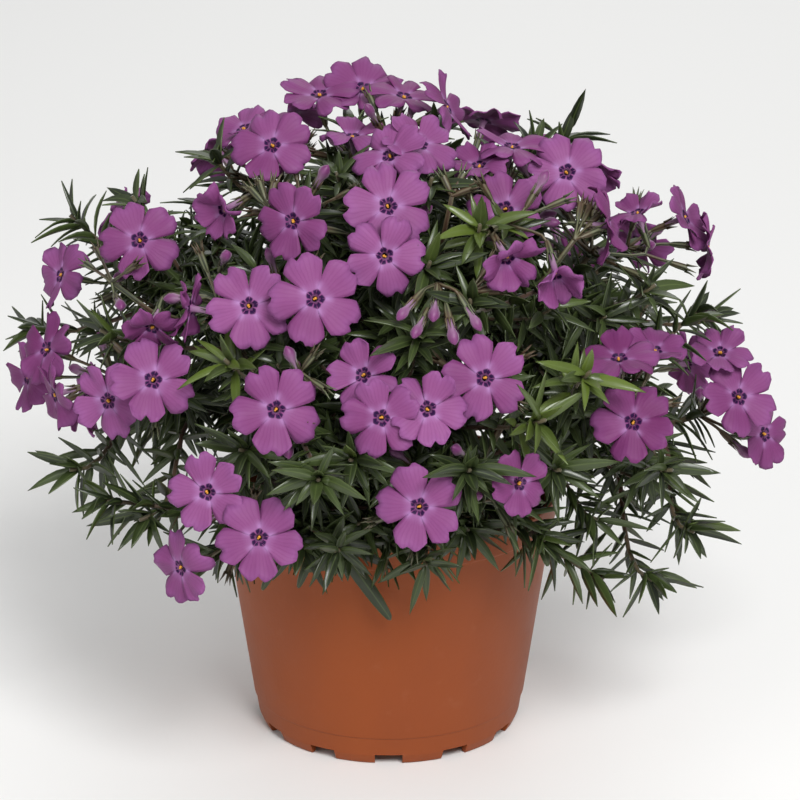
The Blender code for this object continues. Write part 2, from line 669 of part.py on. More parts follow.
def grow_stem(stem, base, tips, trees):
    """The stem's tubes, and each one's path with whether it ends in blooms."""
    up = Vector((0, 0, 1))
    others = list(trees.values())
    tip, heading = tips[stem.sprays[0].name]
    radii = (STEM_BASE_RADIUS, STEM_TIP_RADIUS)
    stand = base + up * SOIL_MOUND
    path, _ = grown(stand, up, tip, heading, MAIN_STATIONS, STEM_SIDES, radii, others, stem.name)
    path = [base - up * STEM_DEPTH] + path
    steps = [i / (MAIN_STATIONS - 1) for i in range(MAIN_STATIONS)]
    sizes = [radii[0]] + [radii[0] + (radii[1] - radii[0]) * step for step in steps]
    meshes = [tube_mesh(path, sizes, STEM_SIDES)]
    branches = [(path[1:], True)]
    ends = [tips[spray.name] for spray in stem.sprays[1:]]
    ends += [(shoot, tip_heading(shoot, [])) for shoot in stem.shoots]
    thin = (STEM_TIP_RADIUS * 1.1, STEM_TIP_RADIUS * 0.8)
    for number, (end, arrive) in enumerate(ends):
        fork = 3 + number % 2
        lead = (path[fork + 1] - path[fork - 1]).normalized()
        seed = f"{stem.name} {number}"
        way, mesh = grown(path[fork], lead, end, arrive, BRANCH_STATIONS, BRANCH_SIDES, thin, others, seed)
        meshes.append(mesh)
        branches.append((way, number < len(stem.sprays) - 1))
    return meshes, branches


def grow_leaves(name, tubes, branches, trees):
    """The leaves of one stem's branches, clear of all but that stem's own tubes."""
    own = {f"{name} {number}" for number in range(len(tubes))}
    others = [tree for key, tree in trees.items() if key not in own]
    leaves = []
    for number, (path, flowers) in enumerate(branches):
        first = LEAVES_FROM[0] if number == 0 else LEAVES_FROM[1]
        tuft = 0 if flowers else 1
        leaves += leaves_on(path, first, LEAVES_TO, LEAF_SPACING, others, f"{name} {number}", tuft)
    return leaves


def main():
    for obj in list(bpy.data.objects):
        bpy.data.objects.remove(obj)
    phlox = new_collection("phlox_in_pot")
    cutters = new_collection("cutters")
    pot_plastic = new_material("pot_plastic", (0.30, 0.085, 0.035), 0.55)
    potting_soil = new_material("potting_soil", (0.035, 0.022, 0.015), 0.95)
    green = new_material("foliage", (0.045, 0.10, 0.025), 0.5)
    petal = new_material("petals", (0.42, 0.05, 0.38), 0.6)

    tips = {}
    trees = {}
    for stem in PLANT:
        for spray in stem.sprays:
            obj, *tips[spray.name] = make_spray(spray, phlox, petal)
            trees[spray.name] = tree_of(obj.data)

    bases = bases_of(PLANT, [tips[stem.sprays[0].name][0] for stem in PLANT])
    smoothed(make_pot(phlox, cutters, pot_plastic))
    holes = [(base - Vector((0, 0, STEM_DEPTH)), STEM_HOLE_RADIUS) for base in bases]
    smoothed(make_soil(phlox, cutters, potting_soil, holes))

    stems = []
    for stem, base in zip(PLANT, bases):
        tubes, branches = grow_stem(stem, base, tips, trees)
        stems.append((stem.name, tubes, branches))
        for number, mesh in enumerate(tubes):
            trees[f"{stem.name} {number}"] = tree_of(mesh)

    graph = bpy.context.evaluated_depsgraph_get()
    for name in ("pot", "soil"):
        trees[name] = tree_of(bpy.data.objects[name].evaluated_get(graph).to_mesh())
    for name, tubes, branches in stems:
        leaves = grow_leaves(name, tubes, branches, trees)
        for number, mesh in enumerate(leaves):
            trees[f"{name} leaf {number}"] = tree_of(mesh)
        smoothed(fused("stem_" + name, tubes + leaves, phlox, green))


main()
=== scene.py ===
"""Phlox plant in full bloom in its nursery pot, dressed over the CAD frame.

Metres, +Z up. The origin is the centre of the pot's base, and the plant is seen from -Y. The plant's table,
from which its blooms, sprays and stems are worked out, is the same one that the solids are made from.
"""

import math
import random
from collections import namedtuple

import bmesh
import bpy
from mathutils import Matrix, Vector, noise
from mathutils.bvhtree import BVHTree
from mathutils.kdtree import KDTree

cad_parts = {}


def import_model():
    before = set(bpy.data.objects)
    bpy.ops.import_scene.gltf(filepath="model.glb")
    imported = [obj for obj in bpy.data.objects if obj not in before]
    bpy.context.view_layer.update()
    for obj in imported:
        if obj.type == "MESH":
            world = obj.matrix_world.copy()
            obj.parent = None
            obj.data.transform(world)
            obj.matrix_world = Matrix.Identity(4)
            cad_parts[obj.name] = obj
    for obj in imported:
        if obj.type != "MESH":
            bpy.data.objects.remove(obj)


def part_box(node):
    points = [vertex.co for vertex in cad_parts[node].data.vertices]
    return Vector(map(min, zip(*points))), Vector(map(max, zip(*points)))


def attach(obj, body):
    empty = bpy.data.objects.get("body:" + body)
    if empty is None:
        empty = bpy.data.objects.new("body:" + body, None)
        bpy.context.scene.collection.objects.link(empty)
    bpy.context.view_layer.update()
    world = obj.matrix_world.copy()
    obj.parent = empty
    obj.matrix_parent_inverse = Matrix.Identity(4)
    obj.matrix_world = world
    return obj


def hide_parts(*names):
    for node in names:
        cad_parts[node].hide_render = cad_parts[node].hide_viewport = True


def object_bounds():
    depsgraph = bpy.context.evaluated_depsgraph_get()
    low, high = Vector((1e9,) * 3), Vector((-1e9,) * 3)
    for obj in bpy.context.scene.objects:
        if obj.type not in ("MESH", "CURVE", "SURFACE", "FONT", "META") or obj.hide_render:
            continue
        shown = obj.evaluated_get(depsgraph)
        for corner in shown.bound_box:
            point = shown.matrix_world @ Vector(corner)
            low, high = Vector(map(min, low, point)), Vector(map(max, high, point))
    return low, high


MM = 0.001

# Pot
POT_HEIGHT = 81.6 * MM
POT_RIM_RADIUS = 56.2 * MM
POT_BAND_HEIGHT = 9 * MM
POT_BAND_STEP = 0.9 * MM
POT_SKIRT_HEIGHT = 9.6 * MM
POT_SKIRT_RADIUS = 45 * MM
POT_FOOT_RADIUS = 42.4 * MM
POT_WALL = 1.5 * MM
POT_FLOOR_BOTTOM = 3.5 * MM
POT_STEPS = 144
FOOT_COUNT = 12
FOOT_GAP_WIDTH = 9 * MM
DRAIN_COUNT = 6
DRAIN_RADIUS = 3.5 * MM
DRAIN_CIRCLE = 27 * MM

# Soil
SOIL_LEVEL = 71.5 * MM
SOIL_MOUND = 3 * MM
SOIL_LUMP = 1.6 * MM

# Where the photograph was taken from, which turns its pixels into places
VIEW_DISTANCE = 1.2
VIEW_ELEVATION = math.radians(19.5)
VIEW_FOCAL_PX = 3666
VIEW_CENTRE_PX = 400
VIEW_TARGET = Vector((3.7 * MM, 0, 110.8 * MM))
TOWARD_VIEW = Vector((0, -math.cos(VIEW_ELEVATION), math.sin(VIEW_ELEVATION)))
VIEW_UP = Vector((0, math.sin(VIEW_ELEVATION), math.cos(VIEW_ELEVATION)))

# The low dome that the blooms' eyes lie on
DOME_CENTRE = Vector((0, 0, 101.1 * MM))
DOME_RADII = Vector((118 * MM, 108 * MM, 112 * MM))

# Bloom: eye, five notched petals, tube and calyx
PETALS = 5
THROAT_RADIUS = 1.7 * MM
CALYX_END = 12 * MM
HUB_DEPTH = 21 * MM
HUB_LENGTH = 4 * MM
TOUCH_GAP = 0.3 * MM

# Stems and leaves
STEM_SIDES = 4
BRANCH_SIDES = 3
STEM_TIP_RADIUS = 1.0 * MM
STEM_BASE_RADIUS = 1.6 * MM
BASE_APART = 6.5 * MM
PATH_TRIES = 30
SOIL_SPREAD = 37 * MM
LEAF_HALF_WIDTH = 1.9 * MM
LEAF_THICKNESS = 0.8 * MM
LEAF_WIDEST = 0.42
MAIN_STATIONS = 6
BRANCH_STATIONS = 4

# Studio: each lamp's name, place, width in metres and power in watts
LIGHTS = [
    ("key", (0.4, -1.35, 1.35), 0.8, 33),
    ("fill", (-1.1, -1.1, 0.9), 1.0, 4),
    ("back", (0.2, 1.4, 1.3), 1.2, 9),
]
WORLD_LIGHT = 0.4

# Colours, linear
# Petal body colours: the lit colour, then the painted shade
PETAL_LIT = (0.242, 0.070, 0.205)
PETAL_PAINTED_SHADE = (0.112, 0.012, 0.076)
PETAL_EDGE = (0.26, 0.09, 0.265)
PETAL_VEIN = (0.12, 0.012, 0.095)
PETAL_STAR = (0.42, 0.24, 0.50)
PETAL_MARK = (0.012, 0.002, 0.035)
TUBE_PALE = (0.32, 0.20, 0.30)
TUBE_PURPLE = (0.20, 0.05, 0.18)
THROAT = (0.15, 0.065, 0.16)
ANTHER = (0.62, 0.27, 0.03)
BUD_PURPLE = (0.17, 0.028, 0.14)
CALYX_RIB = (0.022, 0.030, 0.012)
CALYX_STRIPE = (0.135, 0.15, 0.08)
LEAF_DARK = (0.014, 0.021, 0.008)
LEAF_GREEN = (0.046, 0.068, 0.018)
LEAF_YOUNG = (0.115, 0.165, 0.022)
LEAF_RIB = (0.11, 0.15, 0.045)
STEM_RED = (0.10, 0.035, 0.022)
STEM_DARK = (0.04, 0.022, 0.012)
STEM_GREEN = (0.075, 0.06, 0.024)
SOIL_DARK = (0.014, 0.009, 0.006)
SOIL_BROWN = (0.055, 0.033, 0.020)
SOIL_FLECK = (0.30, 0.27, 0.22)
POT_CLAY = (0.272, 0.062, 0.014)
POT_WORN = (0.235, 0.054, 0.015)
POT_DUST = (0.31, 0.10, 0.045)
FLOOR = (0.86, 0.86, 0.85)

# Pixels at which young, yellower shoots show
YOUNG_TIPS = [
    (590, 372), (612, 398), (545, 420), (216, 366),
    (476, 215), (252, 178), (655, 505), (580, 300),
]
YOUNG_REACH = 14 * MM

# Clusters with no open bloom: the hub's pixel and reach, then each tip's pixel and whether it holds a bud
CLUSTERS = [
    ("hanging", 438, 284, -3, [(397, 320, 1), (413, 338, 1), (433, 322, 1), (455, 345, 1), (481, 331, 1)]),
    ("right_fan", 470, 292, -5, [(505, 262, 0), (512, 276, 0), (497, 252, 0), (508, 290, 0)]),
    ("high_fan", 574, 240, -8, [(592, 202, 0), (602, 212, 0), (582, 198, 0), (604, 228, 0)]),
    ("left_fan", 268, 208, -6, [(246, 184, 0), (258, 176, 0), (276, 176, 0), (290, 186, 0)]),
    ("west_buds", 112, 282, -6, [(96, 246, 0), (122, 308, 1), (84, 262, 0), (140, 262, 0)]),
    ("low_buds", 300, 372, -6, [(286, 346, 1), (318, 350, 0), (330, 392, 0)]),
    ("crown_fan", 452, 196, -8, [(440, 170, 0), (466, 168, 0), (478, 186, 0)]),
]

# Leaves that hang over the rim: pixels of root and tip, half their width and how far they bow, in mm
DRAPED = [
    ((334, 540), (391, 620), 2.5, 5),
    ((322, 530), (298, 588), 1.7, 4),
    ((350, 560), (303, 570), 1.9, 4),
    ((368, 540), (420, 556), 1.8, 4),
    ((286, 545), (262, 590), 1.5, 3),
    ((455, 532), (470, 560), 1.5, 3),
    ((536, 528), (548, 566), 1.6, 3),
]

# How lit each spray's petals are painted, from painted shade at 0 to lit at 1; the others are at 0.8
SPRAY_PAINTED_LIGHT = {
    "west": 0.6, "west_edge": 0.25, "west_inner": 0.3, "east": 0.4, "right": 0.35, "right_bells": 0.5,
    "east_low": 0.2, "east_edge": 0.35, "front_right": 0.25, "upper_right": 0.45, "right_inner": 0.5,
    "crown_left": 0.5, "crown_right": 0.4, "left_bell": 0.5, "upper_left": 0.6, "front": 0.7,
}

# What the dressing adds
PETAL_COLUMNS = 10
PETAL_ROWS = 7
PETAL_SHEET = 0.28 * MM
PETAL_FOOT = 1.1 * MM
LEAF_SHEET = 0.35 * MM
LEAF_ROWS = 6
TUBE_SIDES = 8
CALYX_SIDES = 10
EXTRA_LEAVES = 80
FILLER_TWIGS = 4
FILLER_REACH = (0.66, 0.9)
EXTRA_LENGTHS = (9 * MM, 19 * MM)
FULL_LEAF = 20 * MM
BUD_LENGTH = 13 * MM
BARE_CALYX_LENGTH = 8 * MM
SPRAY_TIPS = 5
CLEAR_OF_BLOOM = 9 * MM
CLEAR_OF_SOIL = 4 * MM
# How lit the petals of the other sprays are painted
USUAL_PAINTED_LIGHT = 0.8

Bloom = namedtuple("Bloom", "place face size cup roll")
Spray = namedtuple("Spray", "name blooms")
Stem = namedtuple("Stem", "name sprays shoots")
Finishes = namedtuple("Finishes", "petal tube calyx bud throat anther leaf stem")


def photo_ray(u, v):
    """The viewpoint, and the direction in which it sees the photograph's pixel (u, v)."""
    eye = VIEW_TARGET + TOWARD_VIEW * VIEW_DISTANCE
    across = (u - VIEW_CENTRE_PX) / VIEW_FOCAL_PX
    rise = (VIEW_CENTRE_PX - v) / VIEW_FOCAL_PX
    return eye, (Vector((1, 0, 0)) * across + VIEW_UP * rise - TOWARD_VIEW).normalized()


def on_dome(u, v, reach):
    """The place on the dome's near side that shows at pixel (u, v), moved towards the viewpoint by reach."""
    eye, look = photo_ray(u, v)
    start = Vector([(eye[i] - DOME_CENTRE[i]) / DOME_RADII[i] for i in range(3)])
    step = Vector([look[i] / DOME_RADII[i] for i in range(3)])
    a, b, c = step.dot(step), start.dot(step), start.dot(start) - 1
    miss = b * b - a * c
    distance = (-b - math.sqrt(miss)) / a if miss > 0 else -b / a
    return eye + look * (distance - reach)


def facing(turn, lift):
    """A direction turned to the right and lifted, in degrees, from straight at the viewpoint."""
    turn, lift = math.radians(turn), math.radians(lift)
    level = TOWARD_VIEW * math.cos(turn) + Vector((1, 0, 0)) * math.sin(turn)
    return (level * math.cos(lift) + VIEW_UP * math.sin(lift)).normalized()


def seen(u, v, turn, lift, size, roll=0, cup=4, reach=0):
    """A bloom whose eye shows at pixel (u, v). Size is its width and reach its nearness, in mm."""
    place, face = on_dome(u, v, reach * MM), facing(turn, lift)
    return Bloom(place, face, size * MM, math.radians(cup), math.radians(roll))


def outward(azimuth, elevation):
    """The direction that lies this many degrees round from +Y and up from the level."""
    azimuth, elevation = math.radians(azimuth), math.radians(elevation)
    level = Vector((math.sin(azimuth), math.cos(azimuth), 0))
    return level * math.cos(elevation) + Vector((0, 0, math.sin(elevation)))


def out_from_dome(way, share=1, past=0):
    """The place that lies this way from the dome's centre, at a share of the dome's radii and past them."""
    return DOME_CENTRE + Vector([way[i] * (DOME_RADII[i] + past) * share for i in range(3)])


def behind(azimuth, elevation, size, roll=0, cup=4, tilt=0):
    """A bloom on the far side, placed by its direction from the dome's centre in degrees."""
    out = outward(azimuth, elevation)
    face = (out + Vector((0, 0, math.tan(math.radians(tilt))))).normalized()
    return Bloom(out_from_dome(out), face, size * MM, math.radians(cup), math.radians(roll))


def shoot_at(u, v, reach=0):
    """The tip of a leafy shoot with no bloom, which shows at pixel (u, v)."""
    return on_dome(u, v, reach * MM)


def shoot_behind(azimuth, elevation, reach=0):
    """The tip of a leafy shoot on the far side, by its direction from the dome's centre."""
    return out_from_dome(outward(azimuth, elevation), past=reach * MM)


# The plant, stem by stem. Sprays are named for where they show.
PLANT = [
    Stem("west", [Spray("west", [seen(139, 240, -8, 12, 27, 10), seen(60, 275, -60, 10, 25, 30)])],
         [shoot_at(132, 196), shoot_at(70, 215, -6)]),
    Stem("west_low", [Spray("west_edge", [seen(46, 349, -45, 15, 26, 0), seen(27, 377, -62, 0, 25, 20),
                                          seen(54, 395, -68, -15, 24, 50)]),
                      Spray("west_low", [seen(153, 380, 0, 5, 28, 5), seen(108, 401, -25, -12, 26, 30)])],
         [shoot_at(70, 470, -8), shoot_at(140, 520, -16)]),
    Stem("west_inner", [Spray("west_inner", [seen(190, 308, -105, 10, 23, 15, 10),
                                             seen(152, 328, -20, -50, 20, 0, 25, -6)])],
         [shoot_at(100, 330, -8)]),
    Stem("upper_left", [Spray("upper_left", [seen(272, 145, -5, 25, 27, 5),
                                             seen(243, 128, -42, 50, 23, 20, 10, -8)]),
                        Spray("left_bell", [seen(292, 221, -28, 0, 26, 15),
                                            seen(224, 210, -50, -25, 21, 0, 50)])],
         [shoot_at(212, 152, -6)]),
    Stem("crown_left", [Spray("crown_left", [seen(319, 94, -15, 52, 27, 0, 12),
                                             seen(363, 88, 4, 42, 28, 36, 12),
                                             seen(404, 96, 25, 55, 26, 10, 12, -8)])],
         []),
    Stem("crown", [Spray("crown", [seen(390, 155, -20, 40, 26, 20), seen(420, 144, 15, 42, 26, 0),
                                   seen(352, 136, -15, 70, 22, 0, 20, -22)])],
         [shoot_at(350, 118, -22), shoot_at(436, 128, -20)]),
    Stem("crown_right", [Spray("crown_right", [seen(448, 107, 75, 25, 26, 15, 10)]),
                         Spray("upper_right", [seen(512, 146, 20, 62, 26, 0, 12, -4),
                                               seen(479, 165, -10, 55, 21, 30, 20, -12)])],
         [shoot_at(432, 178, -4)]),
    Stem("centre", [Spray("centre", [seen(388, 206, 0, 5, 29, 0), seen(385, 256, 6, -8, 26, 30, 4, -4)]),
                    Spray("centre_left", [seen(249, 306, -4, 0, 28, 20),
                                          seen(315, 299, 3, 2, 30, 0, 2, 3)])],
         [shoot_at(430, 262, -6)]),
    Stem("right_high", [Spray("right_high", [seen(567, 172, 5, 10, 27, 5),
                                             seen(598, 166, 105, 30, 21, 0, 10, -16)]),
                        Spray("right_inner", [seen(505, 209, -5, 12, 26, 0, 4, -14)])],
         [shoot_at(480, 225, 2), shoot_at(570, 128, -14)]),
    Stem("right", [Spray("right", [seen(609, 226, 82, -5, 26, 0),
                                   seen(637, 212, -40, 60, 20, 10, 15, -10)]),
                   Spray("right_bells", [seen(507, 258, 30, -42, 23, 0, 48, 7),
                                         seen(556, 274, 20, -55, 23, 30, 48, 7)])],
         [shoot_at(470, 300, 2)]),
    Stem("east", [Spray("east", [seen(686, 217, 68, 20, 25, 10), seen(709, 247, 80, -5, 24, 40)])],
         [shoot_at(655, 285, -8)]),
    Stem("east_low", [Spray("east_low", [seen(619, 358, -5, 55, 26, 0, 10),
                                         seen(655, 350, 15, 48, 22, 30, 18, -14),
                                         seen(633, 422, 0, 5, 27, 10)])],
         [shoot_at(590, 372, 8), shoot_at(700, 310, -10), shoot_at(560, 470, -6)]),
    Stem("east_edge", [Spray("east_edge", [seen(739, 397, 18, 10, 27, 0), seen(765, 434, 42, 5, 24, 30),
                                           seen(720, 352, -5, 40, 22, 20, 15, -14)])],
         [shoot_at(672, 470, -4), shoot_at(694, 532, -22), shoot_at(655, 582, -34)]),
    Stem("middle", [Spray("middle", [seen(363, 375, -20, 15, 24, 10, 4, -6), seen(381, 418, -8, -4, 26, 0),
                                     seen(428, 409, 5, 5, 25, 30)]),
                    Spray("middle_right", [seen(485, 378, 3, 5, 28, 0)])],
         [shoot_at(420, 330, -4), shoot_at(545, 420, 4), shoot_at(350, 460, -6)]),
    Stem("middle_left", [Spray("middle_left", [seen(276, 410, 0, 0, 29, 10)])],
         [shoot_at(225, 360, -4), shoot_at(318, 480, 2), shoot_at(240, 450, -10)]),
    Stem("front_right", [Spray("front_right", [seen(520, 483, 35, -5, 22, 0)]),
                         Spray("front", [seen(419, 507, -3, 0, 28, 0)])],
         [shoot_at(604, 578, -36), shoot_at(545, 540, -38), shoot_at(470, 470, 2),
          shoot_at(468, 530, -40)]),
    Stem("front_left", [Spray("front_left", [seen(207, 492, -10, 0, 26, 0), seen(259, 538, 0, 0, 28, 15),
                                             seen(180, 568, -48, -15, 25, 0)])],
         [shoot_at(345, 548, -40), shoot_at(98, 500, -8), shoot_at(300, 545, -36),
          shoot_at(395, 545, -42)]),
    Stem("back_left", [Spray("back_left", [behind(-52, 22, 26), behind(-66, 34, 24, 20)]),
                       Spray("back_left_low", [behind(-62, -4, 27, 10), behind(-46, 2, 25, 30)])],
         [shoot_behind(-75, 12, 10), shoot_behind(-50, -12)]),
    Stem("back_left_top", [Spray("back_left_top", [behind(-30, 55, 27, 0), behind(-42, 44, 25, 20)])],
         [shoot_behind(-10, 40, -4)]),
    Stem("back", [Spray("back", [behind(-12, 24, 28, 5), behind(6, 30, 26, 30)]),
                  Spray("back_low", [behind(-18, -2, 27, 0), behind(2, 4, 27, 20)])],
         [shoot_behind(-4, -14, 3), shoot_behind(-32, 8)]),
    Stem("back_right_top", [Spray("back_right_top", [behind(26, 52, 27, 10), behind(38, 42, 24, 0)])],
         [shoot_behind(56, 58, -6)]),
    Stem("back_right", [Spray("back_right", [behind(34, 16, 27, 0), behind(52, 24, 26, 30)]),
                        Spray("back_right_low", [behind(40, -8, 26, 0), behind(60, 2, 25, 15)])],
         [shoot_behind(76, 16), shoot_behind(22, -10)]),
]


def bezier(a, b, c, d, t):
    """A point on the cubic curve from a to d."""
    s = 1 - t
    return a * s**3 + b * 3 * s * s * t + c * 3 * s * t * t + d * t**3


def frame_of(axis, roll=0.0):
    """Two unit vectors square to the axis, turned round it by roll."""
    side = axis.cross(Vector((0, 0, 1)) if abs(axis.z) < 0.95 else Vector((1, 0, 0))).normalized()
    across = axis.cross(side).normalized()
    return (side * math.cos(roll) + across * math.sin(roll), across * math.cos(roll) - side * math.sin(roll))


def spoke(side, across, turn):
    """The unit vector at this angle from side towards across."""
    return side * math.cos(turn) + across * math.sin(turn)


def align(side, axis):
    """The two unit vectors nearest to side that are square to the axis."""
    near = (side - axis * side.dot(axis)).normalized()
    return near, axis.cross(near).normalized()


def hub_of(blooms):
    """Where the pedicels of a spray meet: behind its blooms, and drawn towards the middle of the plant."""
    mean = sum((bloom.place - bloom.face * HUB_DEPTH for bloom in blooms), Vector()) / len(blooms)
    return mean + (DOME_CENTRE - mean).normalized() * (2 * MM * len(blooms))


def bases_of(plant, targets):
    """Where each stem leaves the soil: under its own side of the plant, and apart from the others."""
    bases = []
    for stem, target in zip(plant, targets):
        lean = (target - Vector((0, 0, SOIL_LEVEL))).normalized()
        polar = math.acos(max(-1, min(1, lean.z)))
        out = Vector((lean.x, lean.y)).normalized()
        bases.append(out * min(SOIL_SPREAD, SOIL_SPREAD * polar / math.radians(95)))
    for _ in range(60):
        for i, one in enumerate(bases):
            for other in bases[:i]:
                apart = one - other
                short = BASE_APART - apart.length
                if short > 0:
                    push = apart.normalized() * short / 2
                    one += push
                    other -= push
            if one.length > SOIL_SPREAD:
                one *= SOIL_SPREAD / one.length
    return [Vector((base.x, base.y, SOIL_LEVEL + SOIL_MOUND * 0.5)) for base in bases]


def path_between(start, lead, tip, arrive, stations, sway):
    """A smooth path from start, leaving along lead, to tip, arriving along arrive; sway shifts its middle."""
    span = (tip - start).length
    a, b = start + lead * span * 0.36 + sway, tip - arrive * span * 0.34 + sway
    return [bezier(start, a, b, tip, i / (stations - 1)) for i in range(stations)]


def tip_heading(tip, blooms):
    """The direction in which a stem reaches its tip: out of the plant, and with its blooms' facing."""
    out = (tip - DOME_CENTRE + Vector((0, 0, 30 * MM))).normalized()
    for bloom in blooms:
        out += bloom.face * 0.3 / len(blooms)
    return out.normalized()


class Value:
    """A shader socket that takes part in arithmetic. Each operator adds one Math node."""

    def __init__(self, finish, socket):
        self.finish = finish
        self.socket = socket

    def joined(self, operation, *others):
        return self.finish.node("ShaderNodeMath", {"operation": operation}, self, *others)

    def __add__(self, other):
        return self.joined("ADD", other)

    def __sub__(self, other):
        return self.joined("SUBTRACT", other)

    def __rsub__(self, other):
        return self.finish.node("ShaderNodeMath", {"operation": "SUBTRACT"}, other, self)

    def __mul__(self, other):
        return self.joined("MULTIPLY", other)

    def __pow__(self, other):
        return self.joined("POWER", other)

    def sine(self):
        return self.joined("SINE")

    def size(self):
        return self.joined("ABSOLUTE")

    def step(self, start, end):
        """0 below start, 1 above end and a smooth rise between them. It falls where end is under start."""
        settings = {"interpolation_type": "SMOOTHSTEP"}
        low, high = min(start, end), max(start, end)
        rise = self.finish.node("ShaderNodeMapRange", settings, self, low, high)
        return rise if end > start else 1 - rise

    __radd__ = __add__
    __rmul__ = __mul__


class Finish:
    """A material under construction, with its Principled shader."""

    def __init__(self, name, roughness, **sockets):
        self.material = bpy.data.materials.new(name)
        self.material.use_nodes = True
        self.tree = self.material.node_tree
        self.shader = self.tree.nodes["Principled BSDF"]
        self.shader.inputs["Roughness"].default_value = roughness
        for label, value in sockets.items():
            self.shader.inputs[label.replace("_", " ")].default_value = value

    def feed(self, socket, value):
        if isinstance(value, Value):
            self.tree.links.new(value.socket, socket)
        elif isinstance(value, tuple) and len(value) == 3 and socket.type == "RGBA":
            socket.default_value = (*value, 1)
        else:
            socket.default_value = value

    def node(self, kind, settings, *inputs, output=0, **named):
        """A node of this kind, its settings made first. Inputs fill its first sockets, and named the rest."""
        made = self.tree.nodes.new(kind)
        for label, value in settings.items():
            setattr(made, label, value)
        for socket, value in zip([s for s in made.inputs if s.enabled], inputs):
            self.feed(socket, value)
        for label, value in named.items():
            self.feed(made.inputs[label.replace("_", " ")], value)
        return Value(self, [s for s in made.outputs if s.enabled][output])

    def mix(self, share, first, second):
        """The first colour where share is 0 and the second where it is 1."""
        return self.node("ShaderNodeMix", {"data_type": "RGBA"}, share, first, second)

    def attribute(self, name):
        return self.node("ShaderNodeAttribute", {"attribute_name": name}, output=2)

    def across_and_along(self):
        """The piece's own map as two numbers: across from -1 to 1, and along from 0 to 1."""
        place = self.node("ShaderNodeUVMap", {"uv_map": "map"})
        across = self.node("ShaderNodeSeparateXYZ", {}, place, output=0)
        along = self.node("ShaderNodeSeparateXYZ", {}, place, output=1)
        return across * 2 - 1, along

    def speckle(self, scale, detail=3.0, stretch=(1, 1, 1)):
        """Noise from 0 to 1 on the object's own coordinates, in lumps of about 1 / scale metres."""
        place = self.node("ShaderNodeTexCoord", {}, output=3)
        place = self.node("ShaderNodeVectorMath", {"operation": "MULTIPLY"}, place, stretch)
        return self.node("ShaderNodeTexNoise", {}, Vector=place, Scale=scale, Detail=detail)

    def paint(self, colour, roughness=None, height=None, depth=0.0002):
        self.feed(self.shader.inputs["Base Color"], colour)
        if roughness is not None:
            self.feed(self.shader.inputs["Roughness"], roughness)
        if height is not None:
            bump = self.node("ShaderNodeBump", {}, Height=height, Distance=depth, Strength=1.0)
            self.feed(self.shader.inputs["Normal"], bump)
        return self.material


def petal_finish():
    """Magenta-purple petals with fine fanned veins, a whitish-lilac star at their bases and two dark marks on
    each, their body painted from shade to lit colour.
    """
    finish = Finish("petal", 0.55, Specular_IOR_Level=0.15)
    across, along = finish.across_and_along()
    vary = finish.attribute("vary")
    veins = ((across * 26 + finish.speckle(110) * 11).sine() * 0.5 + 0.5) ** 3
    # Painted shade and light: vary carries the spray's painted light and mixes the body from painted shade to
    # lit colour, with low-frequency patches of painted shade; it also strengthens the paler edge and the star
    body = finish.mix(vary * 0.75 + finish.speckle(45, 1.0).step(0.3, 0.7) * 0.25, PETAL_PAINTED_SHADE, PETAL_LIT)
    rim = along.step(0.6, 1.0) * (vary * 0.3 + 0.1)
    body = finish.mix(finish.speckle(120) * 0.25 + rim, body, PETAL_EDGE)
    body = finish.mix(veins * along.step(0.12, 0.4) * 0.14, body, PETAL_VEIN)
    margin = across.size().step(0.35, 0.95)
    star = along.step(0.1, 0.15) * along.step(0.4, 0.12) * (margin * 0.45 + 0.04 + vary * 0.2)
    body = finish.mix(star, body, PETAL_STAR)
    mark = across.size().step(0.08, 0.18) * across.size().step(0.94, 0.78)
    mark = mark * along.step(0.005, 0.04) * along.step(0.14, 0.10)
    body = finish.mix(mark * 0.95, body, PETAL_MARK)
    return finish.paint(body, height=veins * along.step(0.1, 0.4), depth=0.00003)


def plain_finish(name, colour, roughness, **sockets):
    finish = Finish(name, roughness, **sockets)
    return finish.paint(colour)


def tube_finish():
    """The corolla's tube and throat: dull purple outside, paler towards the calyx."""
    finish = Finish("corolla_tube", 0.6)
    along = finish.attribute("along")
    return finish.paint(finish.mix(along.step(0.0, 1.0), TUBE_PALE, TUBE_PURPLE))


def calyx_finish():
    """Slender calyces and pedicels: dark green ribs between paler stripes, flushed red-brown."""
    finish = Finish("calyx", 0.5)
    stripe = finish.attribute("stripe")
    flush = finish.speckle(90).step(0.35, 0.65)
    body = finish.mix(stripe.step(0.3, 0.8), CALYX_RIB, CALYX_STRIPE)
    return finish.paint(finish.mix(flush * 0.55, body, STEM_RED))


def bud_finish():
    finish = Finish("bud", 0.5, Sheen_Weight=0.2)
    along = finish.attribute("along")
    twist = finish.attribute("stripe")
    body = finish.mix(along.step(0.1, 0.8), TUBE_PALE, BUD_PURPLE)
    return finish.paint(finish.mix(twist * 0.5, body, PETAL_VEIN))


def leaf_finish():
    """Dark glossy leaves with a sunken paler midrib. Young ones are yellower."""
    finish = Finish("leaf", 0.36, Specular_IOR_Level=0.5)
    across, along = finish.across_and_along()
    vary = finish.attribute("vary")
    body = finish.mix(vary.step(0.0, 0.75), LEAF_DARK, LEAF_GREEN)
    body = finish.mix(vary.step(0.78, 1.0), body, LEAF_YOUNG)
    body = finish.mix(finish.speckle(220) * 0.4, body, LEAF_DARK)
    rib = across.size().step(0.16, 0.04)
    body = finish.mix(rib * 0.45, body, LEAF_RIB)
    edge = across.size().step(0.86, 1.0)
    body = finish.mix(edge * 0.35, body, LEAF_RIB)
    return finish.paint(body, roughness=finish.speckle(300) * 0.2 + 0.24)


